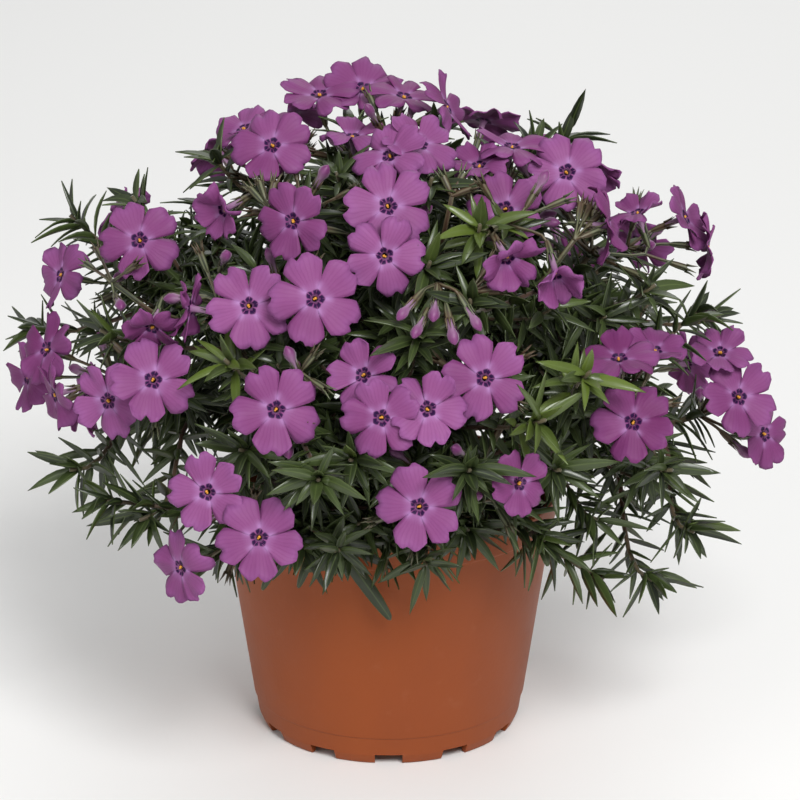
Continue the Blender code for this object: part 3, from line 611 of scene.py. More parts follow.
def stem_finish():
    """Wiry stems, red-brown low down and greener towards their tips, with fine down."""
    finish = Finish("stem", 0.6, Sheen_Weight=0.3)
    along = finish.attribute("along")
    body = finish.mix(along.step(0.25, 1.0), STEM_RED, STEM_GREEN)
    body = finish.mix(finish.speckle(160).step(0.4, 0.7) * 0.5, body, STEM_DARK)
    return finish.paint(body)


def soil_finish():
    finish = Finish("soil", 0.95)
    crumbs = finish.speckle(420, 6.0)
    body = finish.mix(crumbs.step(0.3, 0.6), SOIL_DARK, SOIL_BROWN)
    body = finish.mix(finish.speckle(900, 1.0).step(0.68, 0.72) * 0.6, body, SOIL_FLECK)
    return finish.paint(body, height=crumbs, depth=0.0012)


def pot_finish():
    """Semi-matt moulded plastic with faint scuffs and scattered specks of dust."""
    finish = Finish("pot_plastic", 0.5, Specular_IOR_Level=0.22)
    scuff = finish.speckle(18, 5.0, (1, 1, 0.5))
    body = finish.mix(scuff.step(0.35, 0.75), POT_CLAY, POT_WORN)
    dust = finish.speckle(160, 4.0).step(0.6, 0.8)
    body = finish.mix(dust * 0.25, body, POT_DUST)
    rough = finish.speckle(60, 4.0) * 0.2 + 0.42
    return finish.paint(body, roughness=rough, height=finish.speckle(700, 2.0), depth=0.00005)


def linked(name, data):
    """A new object in the scene that holds this mesh, lamp or camera."""
    obj = bpy.data.objects.new(name, data)
    bpy.context.scene.collection.objects.link(obj)
    return obj


def mesh_from(name, shape):
    """A mesh with what this bmesh holds, which is then freed."""
    mesh = bpy.data.meshes.new(name)
    shape.to_mesh(mesh)
    shape.free()
    return mesh


class Sheet:
    """A mesh under construction whose thin blades and tubes carry a map and three numbers at each corner."""

    def __init__(self):
        self.shape = bmesh.new()
        self.shape.loops.layers.uv.new("map")
        self.vary = self.shape.verts.layers.float.new("vary")
        self.along = self.shape.verts.layers.float.new("along")
        self.stripe = self.shape.verts.layers.float.new("stripe")

    def blade(self, columns, rows, vary, place):
        """A grid laid by place(across, along), with across from -1 to 1 and along from 0 to 1."""
        made = bmesh.ops.create_grid(self.shape, x_segments=columns, y_segments=rows, size=1, calc_uvs=True)
        for corner in made["verts"]:
            across, along = corner.co.x, (corner.co.y + 1) / 2
            corner.co = place(across, along)
            corner[self.vary] = vary
            corner[self.along] = along
            corner[self.stripe] = abs(across)

    def tube(self, path, radii, sides, vary=0.0, flute=0.0, closed=True):
        """A round tube along a path. Flute sinks every second corner of each ring by that share."""
        side = frame_of((path[1] - path[0]).normalized())[0]
        ring = bmesh.ops.create_circle(self.shape, cap_ends=False, segments=sides, radius=1)["verts"]
        edges = list(dict.fromkeys(edge for corner in ring for edge in corner.link_edges))
        for number, (point, radius) in enumerate(zip(path, radii)):
            ahead, back = path[min(number + 1, len(path) - 1)], path[max(number - 1, 0)]
            side, across = align(side, (ahead - back).normalized())
            if number:
                made = bmesh.ops.extrude_edge_only(self.shape, edges=edges)["geom"]
                grown = [item for item in made if isinstance(item, bmesh.types.BMVert)]
                edges = [item for item in made if isinstance(item, bmesh.types.BMEdge)]
                edges = [edge for edge in edges if edge.verts[0] in grown and edge.verts[1] in grown]
                follow = {}
                for corner in grown:
                    for edge in corner.link_edges:
                        other = edge.other_vert(corner)
                        if other in ring:
                            follow[other] = corner
                ring = [follow[corner] for corner in ring]
            for turn, corner in enumerate(ring):
                angle = math.tau * turn / sides
                reach = radius * (1 - flute * (turn % 2))
                corner.co = point + spoke(side, across, angle) * reach
                corner[self.vary] = vary
                corner[self.along] = number / (len(path) - 1)
                corner[self.stripe] = turn % 2
            if closed and number in (0, len(path) - 1):
                bmesh.ops.contextual_create(self.shape, geom=edges)

    def piece(self, name, finish, slot, nodes=(), thick=0.0):
        """The finished piece, riding on the plant and standing for these CAD nodes."""
        bmesh.ops.recalc_face_normals(self.shape, faces=self.shape.faces)
        return kept(name, mesh_from(name, self.shape), finish, nodes, thick)


def kept(name, mesh, finish, nodes=(), thick=0.0):
    """A smooth-shaded object for this mesh, riding on the plant, given thickness where it's a sheet."""
    obj = linked(name, mesh)
    mesh.materials.append(finish)
    mesh.shade_smooth()
    if thick:
        wall = obj.modifiers.new("Thickness", "SOLIDIFY")
        wall.thickness = thick
        wall.offset = 0
    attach(obj, "root")
    if nodes:
        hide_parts(*nodes)
    return obj


def petal_place(bloom, number, lift, chance):
    """How one petal's grid lies: narrow at the throat, widest past the middle, notched at its tip."""
    side, across = frame_of(bloom.face, bloom.roll)
    turn = math.tau * number / PETALS
    out = spoke(side, across, turn)
    wide = bloom.face.cross(out)
    along_way = out * math.cos(lift) + bloom.face * math.sin(lift)
    normal = bloom.face * math.cos(lift) - out * math.sin(lift)
    reach = bloom.size / 2
    length = reach - THROAT_RADIUS
    root = bloom.place + out * THROAT_RADIUS * 0.6
    broad = reach * chance.uniform(0.40, 0.46)
    notch = chance.uniform(0.08, 0.2)
    middle = chance.uniform(-0.12, 0.12)
    skew = chance.uniform(-0.04, 0.04)
    loose = 1 + 0.9 * (1 - max(0, bloom.face.dot(facing(0, 10))))
    curl = chance.uniform(-0.9, 2.6) * loose * MM
    fold = chance.uniform(-1.8, 0.8) * loose * MM
    twist = chance.uniform(-0.36, 0.36) * loose
    phase = chance.uniform(0, math.tau)

    def place(across_share, share):
        dent = notch * math.exp(-(((across_share - middle) / 0.18) ** 2))
        tip = 1.0 - 0.2 * abs(across_share) ** 3.6 - dent
        tip += 0.016 * math.sin(across_share * 19 + phase)
        width = PETAL_FOOT + (broad - PETAL_FOOT) * min(1, share / 0.86) ** 0.82
        width *= 1 - 0.18 * (max(0, share - 0.78) / 0.22) ** 1.6
        rise = -curl * share**3 + fold * across_share**2 * share + twist * across_share * width * share
        rise += 0.5 * loose * MM * math.sin(across_share * 4.4 + phase) * share**2
        rise -= 0.4 * MM * (1 - share) ** 3
        sway = skew * reach * share**2
        return root + along_way * length * share * tip + wide * (across_share * width + sway) + normal * rise

    return place


def add_bloom(petals, tubes, calyces, eyes, bloom, hub, seed, painted_light):
    """One bloom: petals round a throat with a few anthers, its tube, its calyx and the pedicel to the hub."""
    lifts = random.Random(seed)
    chance = random.Random("fine " + seed)
    # The spray's painted light, from painted shade at 0 to lit at 1, with a seeded spread, sets how lit each
    # petal is painted
    vary = painted_light + chance.uniform(-0.2, 0.2)
    for number in range(PETALS):
        lift = bloom.cup + math.radians(lifts.uniform(-7, 7))
        tone = min(1, max(0, vary + chance.uniform(-0.2, 0.2)))
        petals.blade(PETAL_COLUMNS, PETAL_ROWS, tone, petal_place(bloom, number, lift, chance))
    face, eye = bloom.face, bloom.place
    end = eye - face * CALYX_END
    tubes.tube([end + face * 4 * MM, eye - face * 4 * MM, eye - face * 1 * MM, eye - face * 0.15 * MM],
               [0.85 * MM, 0.95 * MM, 1.1 * MM, 1.75 * MM], TUBE_SIDES, closed=False)
    throat = [eye - face * 0.1 * MM, eye - face * 0.7 * MM, eye - face * 2.2 * MM]
    eyes[0].tube(throat, [1.35 * MM, 0.95 * MM, 0.7 * MM], TUBE_SIDES, closed=False)
    side, across = frame_of(face, bloom.roll)
    for number in range(2):
        turn = math.pi * number * 0.7 + vary * 6
        spot = eye + spoke(side, across, turn) * 0.3 * MM
        grain = (0.52 - 0.14 * number) * MM
        eyes[1].tube([spot - face * 1.2 * MM, spot - face * 0.5 * MM, spot + face * 0.15 * MM],
                     [grain * 0.5, grain, grain * 0.5], 6)
    add_calyx(calyces, eye - face * 5.5 * MM, end, hub, chance)


def add_calyx(calyces, mouth, end, hub, chance, open_mouth=1.0):
    """A slender ribbed calyx with five pointed teeth, and its pedicel bending away to the hub."""
    axis = (mouth - end).normalized()
    span = (mouth - end).length
    body = [end - axis * 0.8 * MM, end + axis * 0.4 * MM, end + axis * span * 0.35, end + axis * span * 0.75]
    calyces.tube(body, [0.55 * MM, 0.95 * MM, 1.2 * MM, 1.25 * MM], CALYX_SIDES, flute=0.14, closed=False)
    side, across = frame_of(axis)
    for number in range(PETALS):
        turn = math.tau * number / PETALS
        out = spoke(side, across, turn)
        foot = end + axis * span * 0.7 + out * 1.1 * MM
        calyces.tube([foot, foot + axis * 1.8 * MM + out * 0.25 * MM * open_mouth,
                      foot + axis * 3.8 * MM + out * 0.9 * MM * open_mouth],
                     [0.5 * MM, 0.32 * MM, 0.05 * MM], 4)
    bow = axis * (end - hub).length * 0.3
    steps = [bezier(hub, hub + (end - hub) * 0.4 - bow * 0.1, end - bow, end, i / 4) for i in range(5)]
    calyces.tube(steps, [0.75 * MM, 0.6 * MM, 0.52 * MM, 0.5 * MM, 0.6 * MM], 6)


def add_bud(buds, calyces, tip, hub, chance):
    """A furled bud on its calyx, fluted and narrowing to a point."""
    axis = ((tip - hub).normalized() + Vector((0, 0, chance.uniform(-0.5, 0.3)))).normalized()
    end = tip - axis * BUD_LENGTH
    radii = [0.85, 0.95, 1.2, 1.9, 1.75, 0.95, 0.15]
    path = [end + axis * BUD_LENGTH * share for share in (0.2, 0.45, 0.6, 0.74, 0.86, 0.95, 1.0)]
    buds.tube(path, [radius * MM for radius in radii], 8, flute=0.16)
    add_calyx(calyces, end + axis * 6 * MM, end, hub, chance, 0.3)


def add_tip(buds, calyces, tip, hub, chance, holds_bud):
    """A furled bud or a bare calyx that ends at tip."""
    if holds_bud:
        add_bud(buds, calyces, tip, hub, chance)
    else:
        add_calyx(calyces, tip, tip - (tip - hub).normalized() * BARE_CALYX_LENGTH, hub, chance)


def leaf_outline(share):
    """A leaf's width along its length, as a share of its greatest."""
    return 0.94 * math.sin(math.pi * min(1, share * 1.01) ** 0.82) ** 0.62 + 0.06 * (1 - share)


def draped_leaf(root, tip, bow, half_width):
    """How the grid lies of a leaf that hangs over the pot's rim, bowed out between its ends."""
    wide = (tip - root).cross(Vector((0, -1, 0))).normalized()

    def place(across_share, share):
        centre = bezier(root, root + bow, tip + bow * 0.4, tip, share)
        width = half_width * leaf_outline(share)
        return centre + wide * across_share * width + Vector((0, -0.3 * abs(across_share) * width, 0))

    return place


def arched_leaf(root, knee, tip, wide, normal, half_width, twist=0.0):
    """How a leaf's grid lies on an arch over its knee: lance-shaped, and channelled along its midrib."""

    def place(across_share, share):
        centre = bezier(root, root + (knee - root) * 0.85, knee + (tip - knee) * 0.25, tip, share)
        width = half_width * leaf_outline(share)
        level = spoke(wide, normal, twist * share)
        return centre + level * across_share * width + normal * (0.38 * abs(across_share) - 0.12) * width

    return place


def leaf_place(root, axis, out, length, lean, droop, half_width, twist=0.0):
    """How an added leaf's grid lies, leaning out from its branch and drooping."""
    start = axis * math.cos(lean) + out * math.sin(lean)
    end = (start + (out * 0.5 - Vector((0, 0, 0.8))) * droop).normalized()
    wide = axis.cross(out).normalized()
    normal = axis * math.sin(lean) - out * math.cos(lean)
    knee = root + start * length * LEAF_WIDEST
    return arched_leaf(root, knee, knee + end * length * (1 - LEAF_WIDEST), wide, normal, half_width, twist)


def leaves_in(node):
    """Each leaf of a CAD node, found by its tip: (root, across, normal, tip, length)."""
    shape = bmesh.new()
    shape.from_mesh(bpy.data.objects[node].data)
    bmesh.ops.remove_doubles(shape, verts=shape.verts, dist=0.001 * MM)
    bmesh.ops.dissolve_degenerate(shape, edges=shape.edges, dist=0.001 * MM)
    found = []
    for corner in shape.verts:
        near = [edge.other_vert(corner).co for edge in corner.link_edges]
        if len(near) != 3 or min((other - corner.co).length for other in near) < 4 * MM:
            continue
        for left, right, keel in ((0, 1, 2), (0, 2, 1), (1, 2, 0)):
            left, right, keel = near[left], near[right], near[keel]
            if abs((left - right).length - 2 * LEAF_HALF_WIDTH) > 0.02 * MM:
                continue
            edge = (left + right) / 2
            normal = (edge - keel).normalized()
            station = edge - normal * LEAF_THICKNESS * 0.3
            across = (left - right).normalized()
            start = across.cross(normal)
            length = (corner.co - station).length / (1 - LEAF_WIDEST)
            roots = [station - start * length * LEAF_WIDEST, station + start * length * LEAF_WIDEST]
            root = min(roots, key=lambda place: -(place - corner.co).length)
            found.append((root, across, normal, corner.co.copy(), length))
            break
    shape.free()
    return found


def built_leaf(root, across, normal, tip, length):
    """How the grid of a leaf that stands in the CAD lies, from its own corners."""
    start = (across.cross(normal)).normalized()
    if start.dot(tip - root) < 0:
        start = -start
    return arched_leaf(root, root + start * length * LEAF_WIDEST, tip, across, normal, LEAF_HALF_WIDTH)


def corners_of(node):
    """A search tree of a CAD node's corners."""
    corners = bpy.data.objects[node].data.vertices
    tree = KDTree(len(corners))
    for number, corner in enumerate(corners):
        tree.insert(corner.co, number)
    tree.balance()
    return tree


def built_path(corners, start, lead, tip, arrive, stations, sides, radii, seed):
    """The path among the solids' seeded ones whose tube stands in the CAD node, as its sway."""
    chance = random.Random(seed)
    scores = []
    for attempt in range(PATH_TRIES):
        swing = attempt * 0.6 * MM
        sway = Vector([chance.uniform(-swing, swing) for _ in range(3)])
        path = path_between(start, lead, tip, arrive, stations, sway)
        side = frame_of((path[1] - path[0]).normalized())[0]
        misses = 0
        for number in range(stations - 1):
            ahead, back = path[number + 1], path[max(number - 1, 0)]
            side, across = align(side, (ahead - back).normalized())
            radius = radii[0] + (radii[1] - radii[0]) * number / (stations - 1)
            for turn in range(sides if number else 0):
                angle = math.tau * turn / sides
                place = path[number] + spoke(side, across, angle) * radius
                misses += corners.find(place)[2] > 0.05 * MM
        scores.append((misses, attempt, sway))
        if misses <= 1:
            break
    return min(scores)[2]


def tapered(start, end, count):
    """Evenly spaced radii from start to end."""
    return [start + (end - start) * i / (count - 1) for i in range(count)]


def within(room, place):
    """Whether a place lies inside the box that the dressing may fill."""
    return all(room[0][k] < place[k] < room[1][k] for k in range(3))


def clear_way(petal_tree, points):
    """Whether a leaf's midline passes no petal."""
    for a, b in zip(points, points[1:]):
        step = b - a
        if petal_tree.ray_cast(a, step.normalized(), step.length)[0] is not None:
            return False
    return True


def tone_at(place, chance, high):
    """How young a leaf looks: seeded, and yellower near the young shoots' tips."""
    near = min((place - on_dome(u, v, 0)).length for u, v in YOUNG_TIPS)
    return chance.uniform(0.8, 1.0) if near < YOUNG_REACH else chance.random() * high


def add_extra_leaves(leaves, path, low, high, room, petal_tree, chance, count):
    """Smaller leaves spaced along a path, between those that the solids hold, clear of the solids' petals."""
    for number in range(count):
        share = low + (high - low) * (number + chance.random()) / count
        walk = share * (len(path) - 1)
        first = min(int(walk), len(path) - 2)
        axis = (path[first + 1] - path[first]).normalized()
        root = path[first].lerp(path[first + 1], walk - first)
        side, across = frame_of(axis, number * 2.4 + chance.uniform(-0.4, 0.4))
        length = chance.uniform(*EXTRA_LENGTHS)
        lean = math.radians(chance.uniform(34, 80))
        broad = chance.uniform(1.2, 1.8) * MM * (0.7 + 0.3 * length / FULL_LEAF)
        droop, twist = chance.uniform(0.1, 1.1), chance.uniform(-0.5, 0.5)
        place = leaf_place(root, axis, side, length, lean, droop, broad, twist)
        points = [place(0, step / 4) for step in range(5)]
        low_down = points[-1].z < SOIL_LEVEL + CLEAR_OF_SOIL
        in_soil = low_down and points[-1].xy.length < POT_RIM_RADIUS + 3 * MM
        if within(room, points[-1]) and not in_soil and clear_way(petal_tree, points[1:]):
            leaves.blade(2, LEAF_ROWS - 1, tone_at(root, chance, 0.8), place)


def finish_tips(name, calyces, buds, finishes):
    """The pieces for a spray's or cluster's calyces, and for its buds where it has any."""
    calyces.piece("calyces_" + name, finishes.calyx, "foliage")
    if len(buds.shape.verts):
        buds.piece("buds_" + name, finishes.bud, "petals")


def make_sprays(finishes, room):
    """Every spray's blooms, with its calyces and a few buds, and where its stem's tip comes."""
    ends = {}
    eyes = (Sheet(), Sheet())
    for plant in PLANT:
        for spray in plant.sprays:
            chance = random.Random("spray " + spray.name)
            # How lit this spray's petals are painted, from painted shade at 0 to lit at 1
            painted_light = SPRAY_PAINTED_LIGHT.get(spray.name, USUAL_PAINTED_LIGHT)
            petals, tubes, calyces, buds = Sheet(), Sheet(), Sheet(), Sheet()
            hub = hub_of(spray.blooms)
            heading = tip_heading(hub, spray.blooms)
            for number, bloom in enumerate(spray.blooms):
                add_bloom(petals, tubes, calyces, eyes, bloom, hub, f"{spray.name} {number}", painted_light)
            side, across = frame_of(heading, chance.uniform(0, math.tau))
            for number in range(SPRAY_TIPS):
                turn = math.tau * number / SPRAY_TIPS + chance.uniform(-0.4, 0.4)
                out = spoke(side, across, turn)
                way = (heading * chance.uniform(0.3, 1.0) + out * 0.9).normalized()
                tip = hub + way * chance.uniform(17, 23) * MM
                if any((tip - bloom.place).length < CLEAR_OF_BLOOM for bloom in spray.blooms):
                    continue
                if not within(room, tip):
                    continue
                add_tip(buds, calyces, tip, hub, chance, number % 2)
            node = "spray_" + spray.name
            petals.piece("petals_" + spray.name, finishes.petal, "petals", [node], PETAL_SHEET)
            tubes.piece("tubes_" + spray.name, finishes.tube, "petals")
            finish_tips(spray.name, calyces, buds, finishes)
            ends[spray.name] = (hub - heading * (HUB_LENGTH / 2 + TOUCH_GAP), heading, hub)
    eyes[0].piece("throats", finishes.throat, "petals")
    eyes[1].piece("anthers", finishes.anther, "petals")
    return ends


def make_clusters(finishes):
    """Buds and bare calyces between the sprays, where the photograph shows them."""
    for name, u, v, reach, tips in CLUSTERS:
        chance = random.Random("cluster " + name)
        buds, calyces = Sheet(), Sheet()
        hub = on_dome(u, v, reach * MM)
        for across, down, holds_bud in tips:
            tip = on_dome(across, down, (reach + 6) * MM)
            add_tip(buds, calyces, tip, hub, chance, holds_bud)
        foot = hub + (DOME_CENTRE - hub).normalized() * 30 * MM
        middle = hub.lerp(foot, 0.5) - Vector((0, 0, 3 * MM))
        calyces.tube([hub, middle, foot], [0.8 * MM, 0.9 * MM, 1.0 * MM], 6)
        finish_tips(name, calyces, buds, finishes)


def at_depth(u, v, depth):
    """The place in front of the pot's axis by depth that shows at pixel (u, v)."""
    eye, look = photo_ray(u, v)
    return eye + look * ((-depth - eye.y) / look.y)


def make_draped(finish):
    """The leaves that hang over the rim at the front, where the photograph shows them."""
    leaves = Sheet()
    for number, (root, tip, half_width, bow) in enumerate(DRAPED):
        start = at_depth(*root, POT_RIM_RADIUS - 8 * MM)
        end = at_depth(*tip, POT_RIM_RADIUS + 3.5 * MM)
        drape = draped_leaf(start, end, Vector((0, -bow - 5, bow)) * MM, half_width * MM)
        leaves.blade(2, 10, 0.3 + 0.06 * number, drape)
    leaves.piece("leaves_draped", finish, "foliage", thick=LEAF_SHEET)


def make_stems(finishes, ends, room, petal_tree):
    """Every leafy stem: its branches along the solids' own paths, with their leaves and smaller ones."""
    up = Vector((0, 0, 1))
    bases = bases_of(PLANT, [ends[plant.sprays[0].name][0] for plant in PLANT])
    for plant, base in zip(PLANT, bases):
        node = "stem_" + plant.name
        corners = corners_of(node)
        chance = random.Random("leaves " + plant.name)
        stems, leaves = Sheet(), Sheet()
        tip, heading, hub = ends[plant.sprays[0].name]
        stand = base + up * SOIL_MOUND
        radii = (STEM_BASE_RADIUS, STEM_TIP_RADIUS)
        route = (stand, up, tip, heading)
        sway = built_path(corners, *route, MAIN_STATIONS, STEM_SIDES, radii, plant.name)
        path = path_between(*route, MAIN_STATIONS, sway)
        fine = path_between(*route, 13, sway)
        fine = [base - up * 2 * MM] + fine + [hub]
        thick = [STEM_BASE_RADIUS] + tapered(STEM_BASE_RADIUS, STEM_TIP_RADIUS * 0.9, 14)
        stems.tube(fine, thick, TUBE_SIDES)
        add_extra_leaves(leaves, fine, 0.12, 0.97, room, petal_tree, chance, EXTRA_LEAVES)
        twigs = [ends[spray.name] for spray in plant.sprays[1:]]
        twigs += [(shoot, tip_heading(shoot, []), None) for shoot in plant.shoots]
        for number, (end, arrive, twig_hub) in enumerate(twigs):
            fork = 3 + number % 2
            lead = (path[fork + 1] - path[fork - 1]).normalized()
            thin = (STEM_TIP_RADIUS * 1.1, STEM_TIP_RADIUS * 0.8)
            route = (path[fork], lead, end, arrive)
            sway = built_path(corners, *route, BRANCH_STATIONS, BRANCH_SIDES, thin, f"{plant.name} {number}")
            fine = path_between(*route, 9, sway) + ([twig_hub] if twig_hub else [])
            stems.tube(fine, tapered(STEM_TIP_RADIUS, STEM_TIP_RADIUS * 0.65, len(fine)), 6)
            add_extra_leaves(leaves, fine, 0.15, 0.98, room, petal_tree, chance, EXTRA_LEAVES // 2)
        for number in range(FILLER_TWIGS):
            fork = chance.randint(2, 4)
            lead = (path[fork + 1] - path[fork - 1]).normalized()
            spread = Vector([chance.gauss(0, 0.32) for _ in range(3)])
            away = ((hub - DOME_CENTRE).normalized() + spread).normalized()
            end = out_from_dome(away, share=chance.uniform(*FILLER_REACH))
            if end.z < SOIL_LEVEL + 12 * MM:
                continue
            fine = path_between(path[fork], lead, end, tip_heading(end, []), 8, Vector())
            if clear_way(petal_tree, fine):
                stems.tube(fine, tapered(STEM_TIP_RADIUS * 0.8, STEM_TIP_RADIUS * 0.5, len(fine)), 5)
                add_extra_leaves(leaves, fine, 0.2, 1.0, room, petal_tree, chance, EXTRA_LEAVES // 2)
        for built in leaves_in(node):
            leaves.blade(2, LEAF_ROWS, tone_at(built[0], chance, 0.9), built_leaf(*built))
        leaves.piece("leaves_" + plant.name, finishes.leaf, "foliage", [node], LEAF_SHEET)
        stems.piece("stems_" + plant.name, finishes.stem, "foliage")


def wall_radius(height):
    """The pot's outer radius on its plain wall."""
    top = POT_HEIGHT - POT_BAND_HEIGHT
    share = (height - POT_SKIRT_HEIGHT) / (top - POT_SKIRT_HEIGHT)
    return POT_SKIRT_RADIUS + share * (POT_RIM_RADIUS - 2 * POT_BAND_STEP - POT_SKIRT_RADIUS)


def spun(profile, steps):
    """A closed profile of (radius, height) points spun about the Z axis, as a bmesh."""
    shape = bmesh.new()
    corners = [shape.verts.new((radius, 0, height)) for radius, height in profile]
    edges = [shape.edges.new(pair) for pair in zip(corners, corners[1:])]
    bmesh.ops.spin(shape, geom=corners + edges, cent=(0, 0, 0), axis=(0, 0, 1), angle=math.tau,
                   steps=steps, use_merge=True)
    bmesh.ops.remove_doubles(shape, verts=shape.verts, dist=0.01 * MM)
    bmesh.ops.recalc_face_normals(shape, faces=shape.faces)
    return shape


def rounded(points, cut=0.35 * MM, steps=3):
    """The profile with each inner corner rounded off."""
    soft = [points[0]]
    for before, here, after in zip(points, points[1:], points[2:]):
        before, here, after = Vector(before), Vector(here), Vector(after)
        reach = min(cut, (before - here).length * 0.45, (after - here).length * 0.45)
        start = here + (before - here).normalized() * reach
        end = here + (after - here).normalized() * reach
        for step in range(steps + 1):
            t = step / steps
            soft.append(tuple(start * (1 - t) ** 2 + here * 2 * t * (1 - t) + end * t**2))
    return soft + [points[-1]]


def cut_away(obj, shapes):
    """Takes these boxes and rods out of the object, and removes them."""
    tool = linked("cutter", mesh_from("cutter", shapes))
    cut = obj.modifiers.new("Cut", "BOOLEAN")
    cut.operation = "DIFFERENCE"
    cut.solver = "MANIFOLD"
    cut.object = tool
    graph = bpy.context.evaluated_depsgraph_get()
    obj.data = bpy.data.meshes.new_from_object(obj.evaluated_get(graph))
    obj.modifiers.clear()
    bpy.data.objects.remove(tool)


def make_pot(finish):
    """The moulded pot: a rounded band at its rim, a fine line at its skirt, gaps between its feet."""
    band = POT_HEIGHT - POT_BAND_HEIGHT
    floor_top = POT_FLOOR_BOTTOM + POT_WALL
    outside = [
        (0, POT_FLOOR_BOTTOM),
        (POT_FOOT_RADIUS - 2.2 * MM, POT_FLOOR_BOTTOM),
        (POT_FOOT_RADIUS - 1.8 * MM, 0),
        (POT_FOOT_RADIUS, 0),
        (POT_FOOT_RADIUS + 1.4 * MM, 3.2 * MM),
        (POT_SKIRT_RADIUS - 0.2 * MM, POT_SKIRT_HEIGHT),
        (POT_SKIRT_RADIUS + 0.25 * MM, POT_SKIRT_HEIGHT + 0.3 * MM),
        (wall_radius(band), band),
        (wall_radius(band) + POT_BAND_STEP, band + 0.6 * MM),
        (POT_RIM_RADIUS, POT_HEIGHT - 0.6 * MM),
        (POT_RIM_RADIUS - 0.6 * MM, POT_HEIGHT),
        (POT_RIM_RADIUS - POT_WALL - 0.4 * MM, POT_HEIGHT),
        (wall_radius(band) - POT_WALL, band - 1 * MM),
        (wall_radius(floor_top + 2 * MM) - POT_WALL, floor_top + 2 * MM),
        (POT_SKIRT_RADIUS - 4.5 * MM, floor_top),
        (0, floor_top),
    ]
    shape = spun(rounded(outside), POT_STEPS)
    obj = kept("pot_moulding", mesh_from("pot_moulding", shape), finish, ["pot"])
    tools = bmesh.new()
    for number in range(FOOT_COUNT):
        turn = math.tau * number / FOOT_COUNT
        made = bmesh.ops.create_cube(tools, size=1)["verts"]
        bmesh.ops.scale(tools, verts=made, vec=(FOOT_GAP_WIDTH, 12 * MM, 2 * POT_FLOOR_BOTTOM))
        bmesh.ops.translate(tools, verts=made, vec=(0, POT_FOOT_RADIUS, 0))
        bmesh.ops.rotate(tools, verts=made, cent=(0, 0, 0), matrix=Matrix.Rotation(turn, 3, "Z"))
    for number in range(DRAIN_COUNT):
        turn = math.tau * (number + 0.5) / DRAIN_COUNT
        made = bmesh.ops.create_cone(tools, cap_ends=True, segments=24, radius1=DRAIN_RADIUS,
                                     radius2=DRAIN_RADIUS, depth=4 * floor_top)["verts"]
        spot = (DRAIN_CIRCLE * math.cos(turn), DRAIN_CIRCLE * math.sin(turn), 0)
        bmesh.ops.translate(tools, verts=made, vec=spot)
    cut_away(obj, tools)
    obj.data.set_sharp_from_angle(angle=math.radians(38))


def make_soil(finish):
    """Crumbly potting soil: a fine disc raised to a low mound and broken up by lumps of several sizes."""
    edge = wall_radius(SOIL_LEVEL) - POT_WALL - 0.4 * MM
    low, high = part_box("soil")
    rings = [(edge * i / 48, SOIL_LEVEL) for i in range(48, -1, -1)]
    shape = spun([(0, low.z), (POT_SKIRT_RADIUS - 6 * MM, low.z), (edge, SOIL_LEVEL - 3 * MM)] + rings, 144)
    for corner in shape.verts:
        if corner.co.z < SOIL_LEVEL - 1 * MM:
            continue
        share = 1 - corner.co.xy.length / edge
        if share <= 0.001:
            continue
        lump = noise.noise(corner.co * 260) * 0.7 + noise.noise(corner.co * 700) * 0.45
        mound = SOIL_MOUND * 0.85 * (1 - (1 - share) ** 3)
        corner.co.z = min(high.z, SOIL_LEVEL + mound - 0.5 * MM + lump * SOIL_LUMP * min(1, share * 12))
    bmesh.ops.recalc_face_normals(shape, faces=shape.faces)
    kept("soil_crumbs", mesh_from("soil_crumbs", shape), finish, ["soil"])


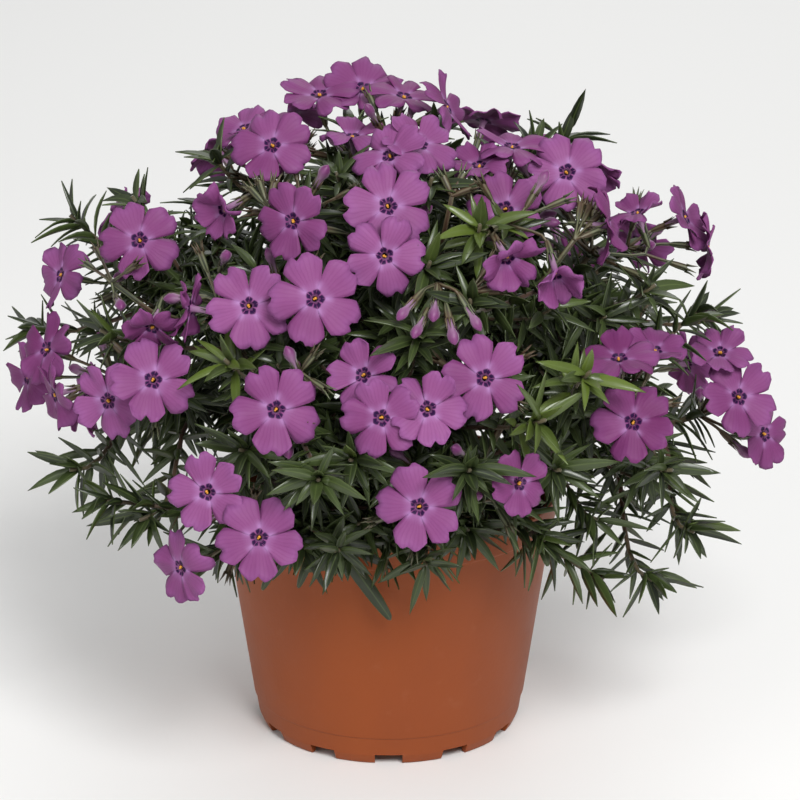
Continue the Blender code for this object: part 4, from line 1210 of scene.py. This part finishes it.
def make_stage():
    """A plain pale floor, soft studio light and the camera at the photograph's angle."""
    shape = bmesh.new()
    bmesh.ops.create_grid(shape, x_segments=1, y_segments=1, size=8)
    bmesh.ops.translate(shape, verts=shape.verts, vec=(0, 0, -0.2 * MM))
    floor = linked("floor", mesh_from("floor", shape))
    floor.data.materials.append(plain_finish("floor", FLOOR, 0.9))
    for name, place, size, power in LIGHTS:
        lamp = bpy.data.lights.new(name, "AREA")
        lamp.shape = "DISK"
        lamp.size = size
        lamp.energy = power
        obj = linked(name, lamp)
        obj.location = place
        obj.rotation_euler = (VIEW_TARGET - Vector(place)).to_track_quat("-Z", "Y").to_euler()
    world = bpy.data.worlds.new("studio")
    world.use_nodes = True
    world.node_tree.nodes["Background"].inputs["Color"].default_value = (1, 1, 1, 1)
    world.node_tree.nodes["Background"].inputs["Strength"].default_value = WORLD_LIGHT
    bpy.context.scene.world = world
    bpy.context.scene.view_settings.view_transform = "Standard"
    lens = bpy.data.cameras.new("camera")
    lens.sensor_width = 36
    lens.lens = VIEW_FOCAL_PX / (2 * VIEW_CENTRE_PX) * 36
    camera = linked("camera", lens)
    camera.location = VIEW_TARGET + TOWARD_VIEW * VIEW_DISTANCE
    camera.rotation_euler = (-TOWARD_VIEW).to_track_quat("-Z", "Y").to_euler()
    bpy.context.scene.camera = camera


def main():
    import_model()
    cad_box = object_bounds()
    room = (cad_box[0] - Vector((1, 1, 1)) * MM, cad_box[1] + Vector((1, 1, 1)) * MM)
    petal_points, petal_faces = [], []
    for plant in PLANT:
        for spray in plant.sprays:
            mesh = bpy.data.objects["spray_" + spray.name].data
            start = len(petal_points)
            petal_points += [corner.co.copy() for corner in mesh.vertices]
            petal_faces += [[start + number for number in face.vertices] for face in mesh.polygons]
    petal_tree = BVHTree.FromPolygons(petal_points, petal_faces)
    finishes = Finishes(
        petal_finish(),
        tube_finish(),
        calyx_finish(),
        bud_finish(),
        plain_finish("throat", THROAT, 0.8),
        plain_finish("anther", ANTHER, 0.6),
        leaf_finish(),
        stem_finish(),
    )
    ends = make_sprays(finishes, room)
    make_stems(finishes, ends, room, petal_tree)
    make_clusters(finishes)
    make_draped(finishes.leaf)
    make_pot(pot_finish())
    make_soil(soil_finish())
    make_stage()


main()
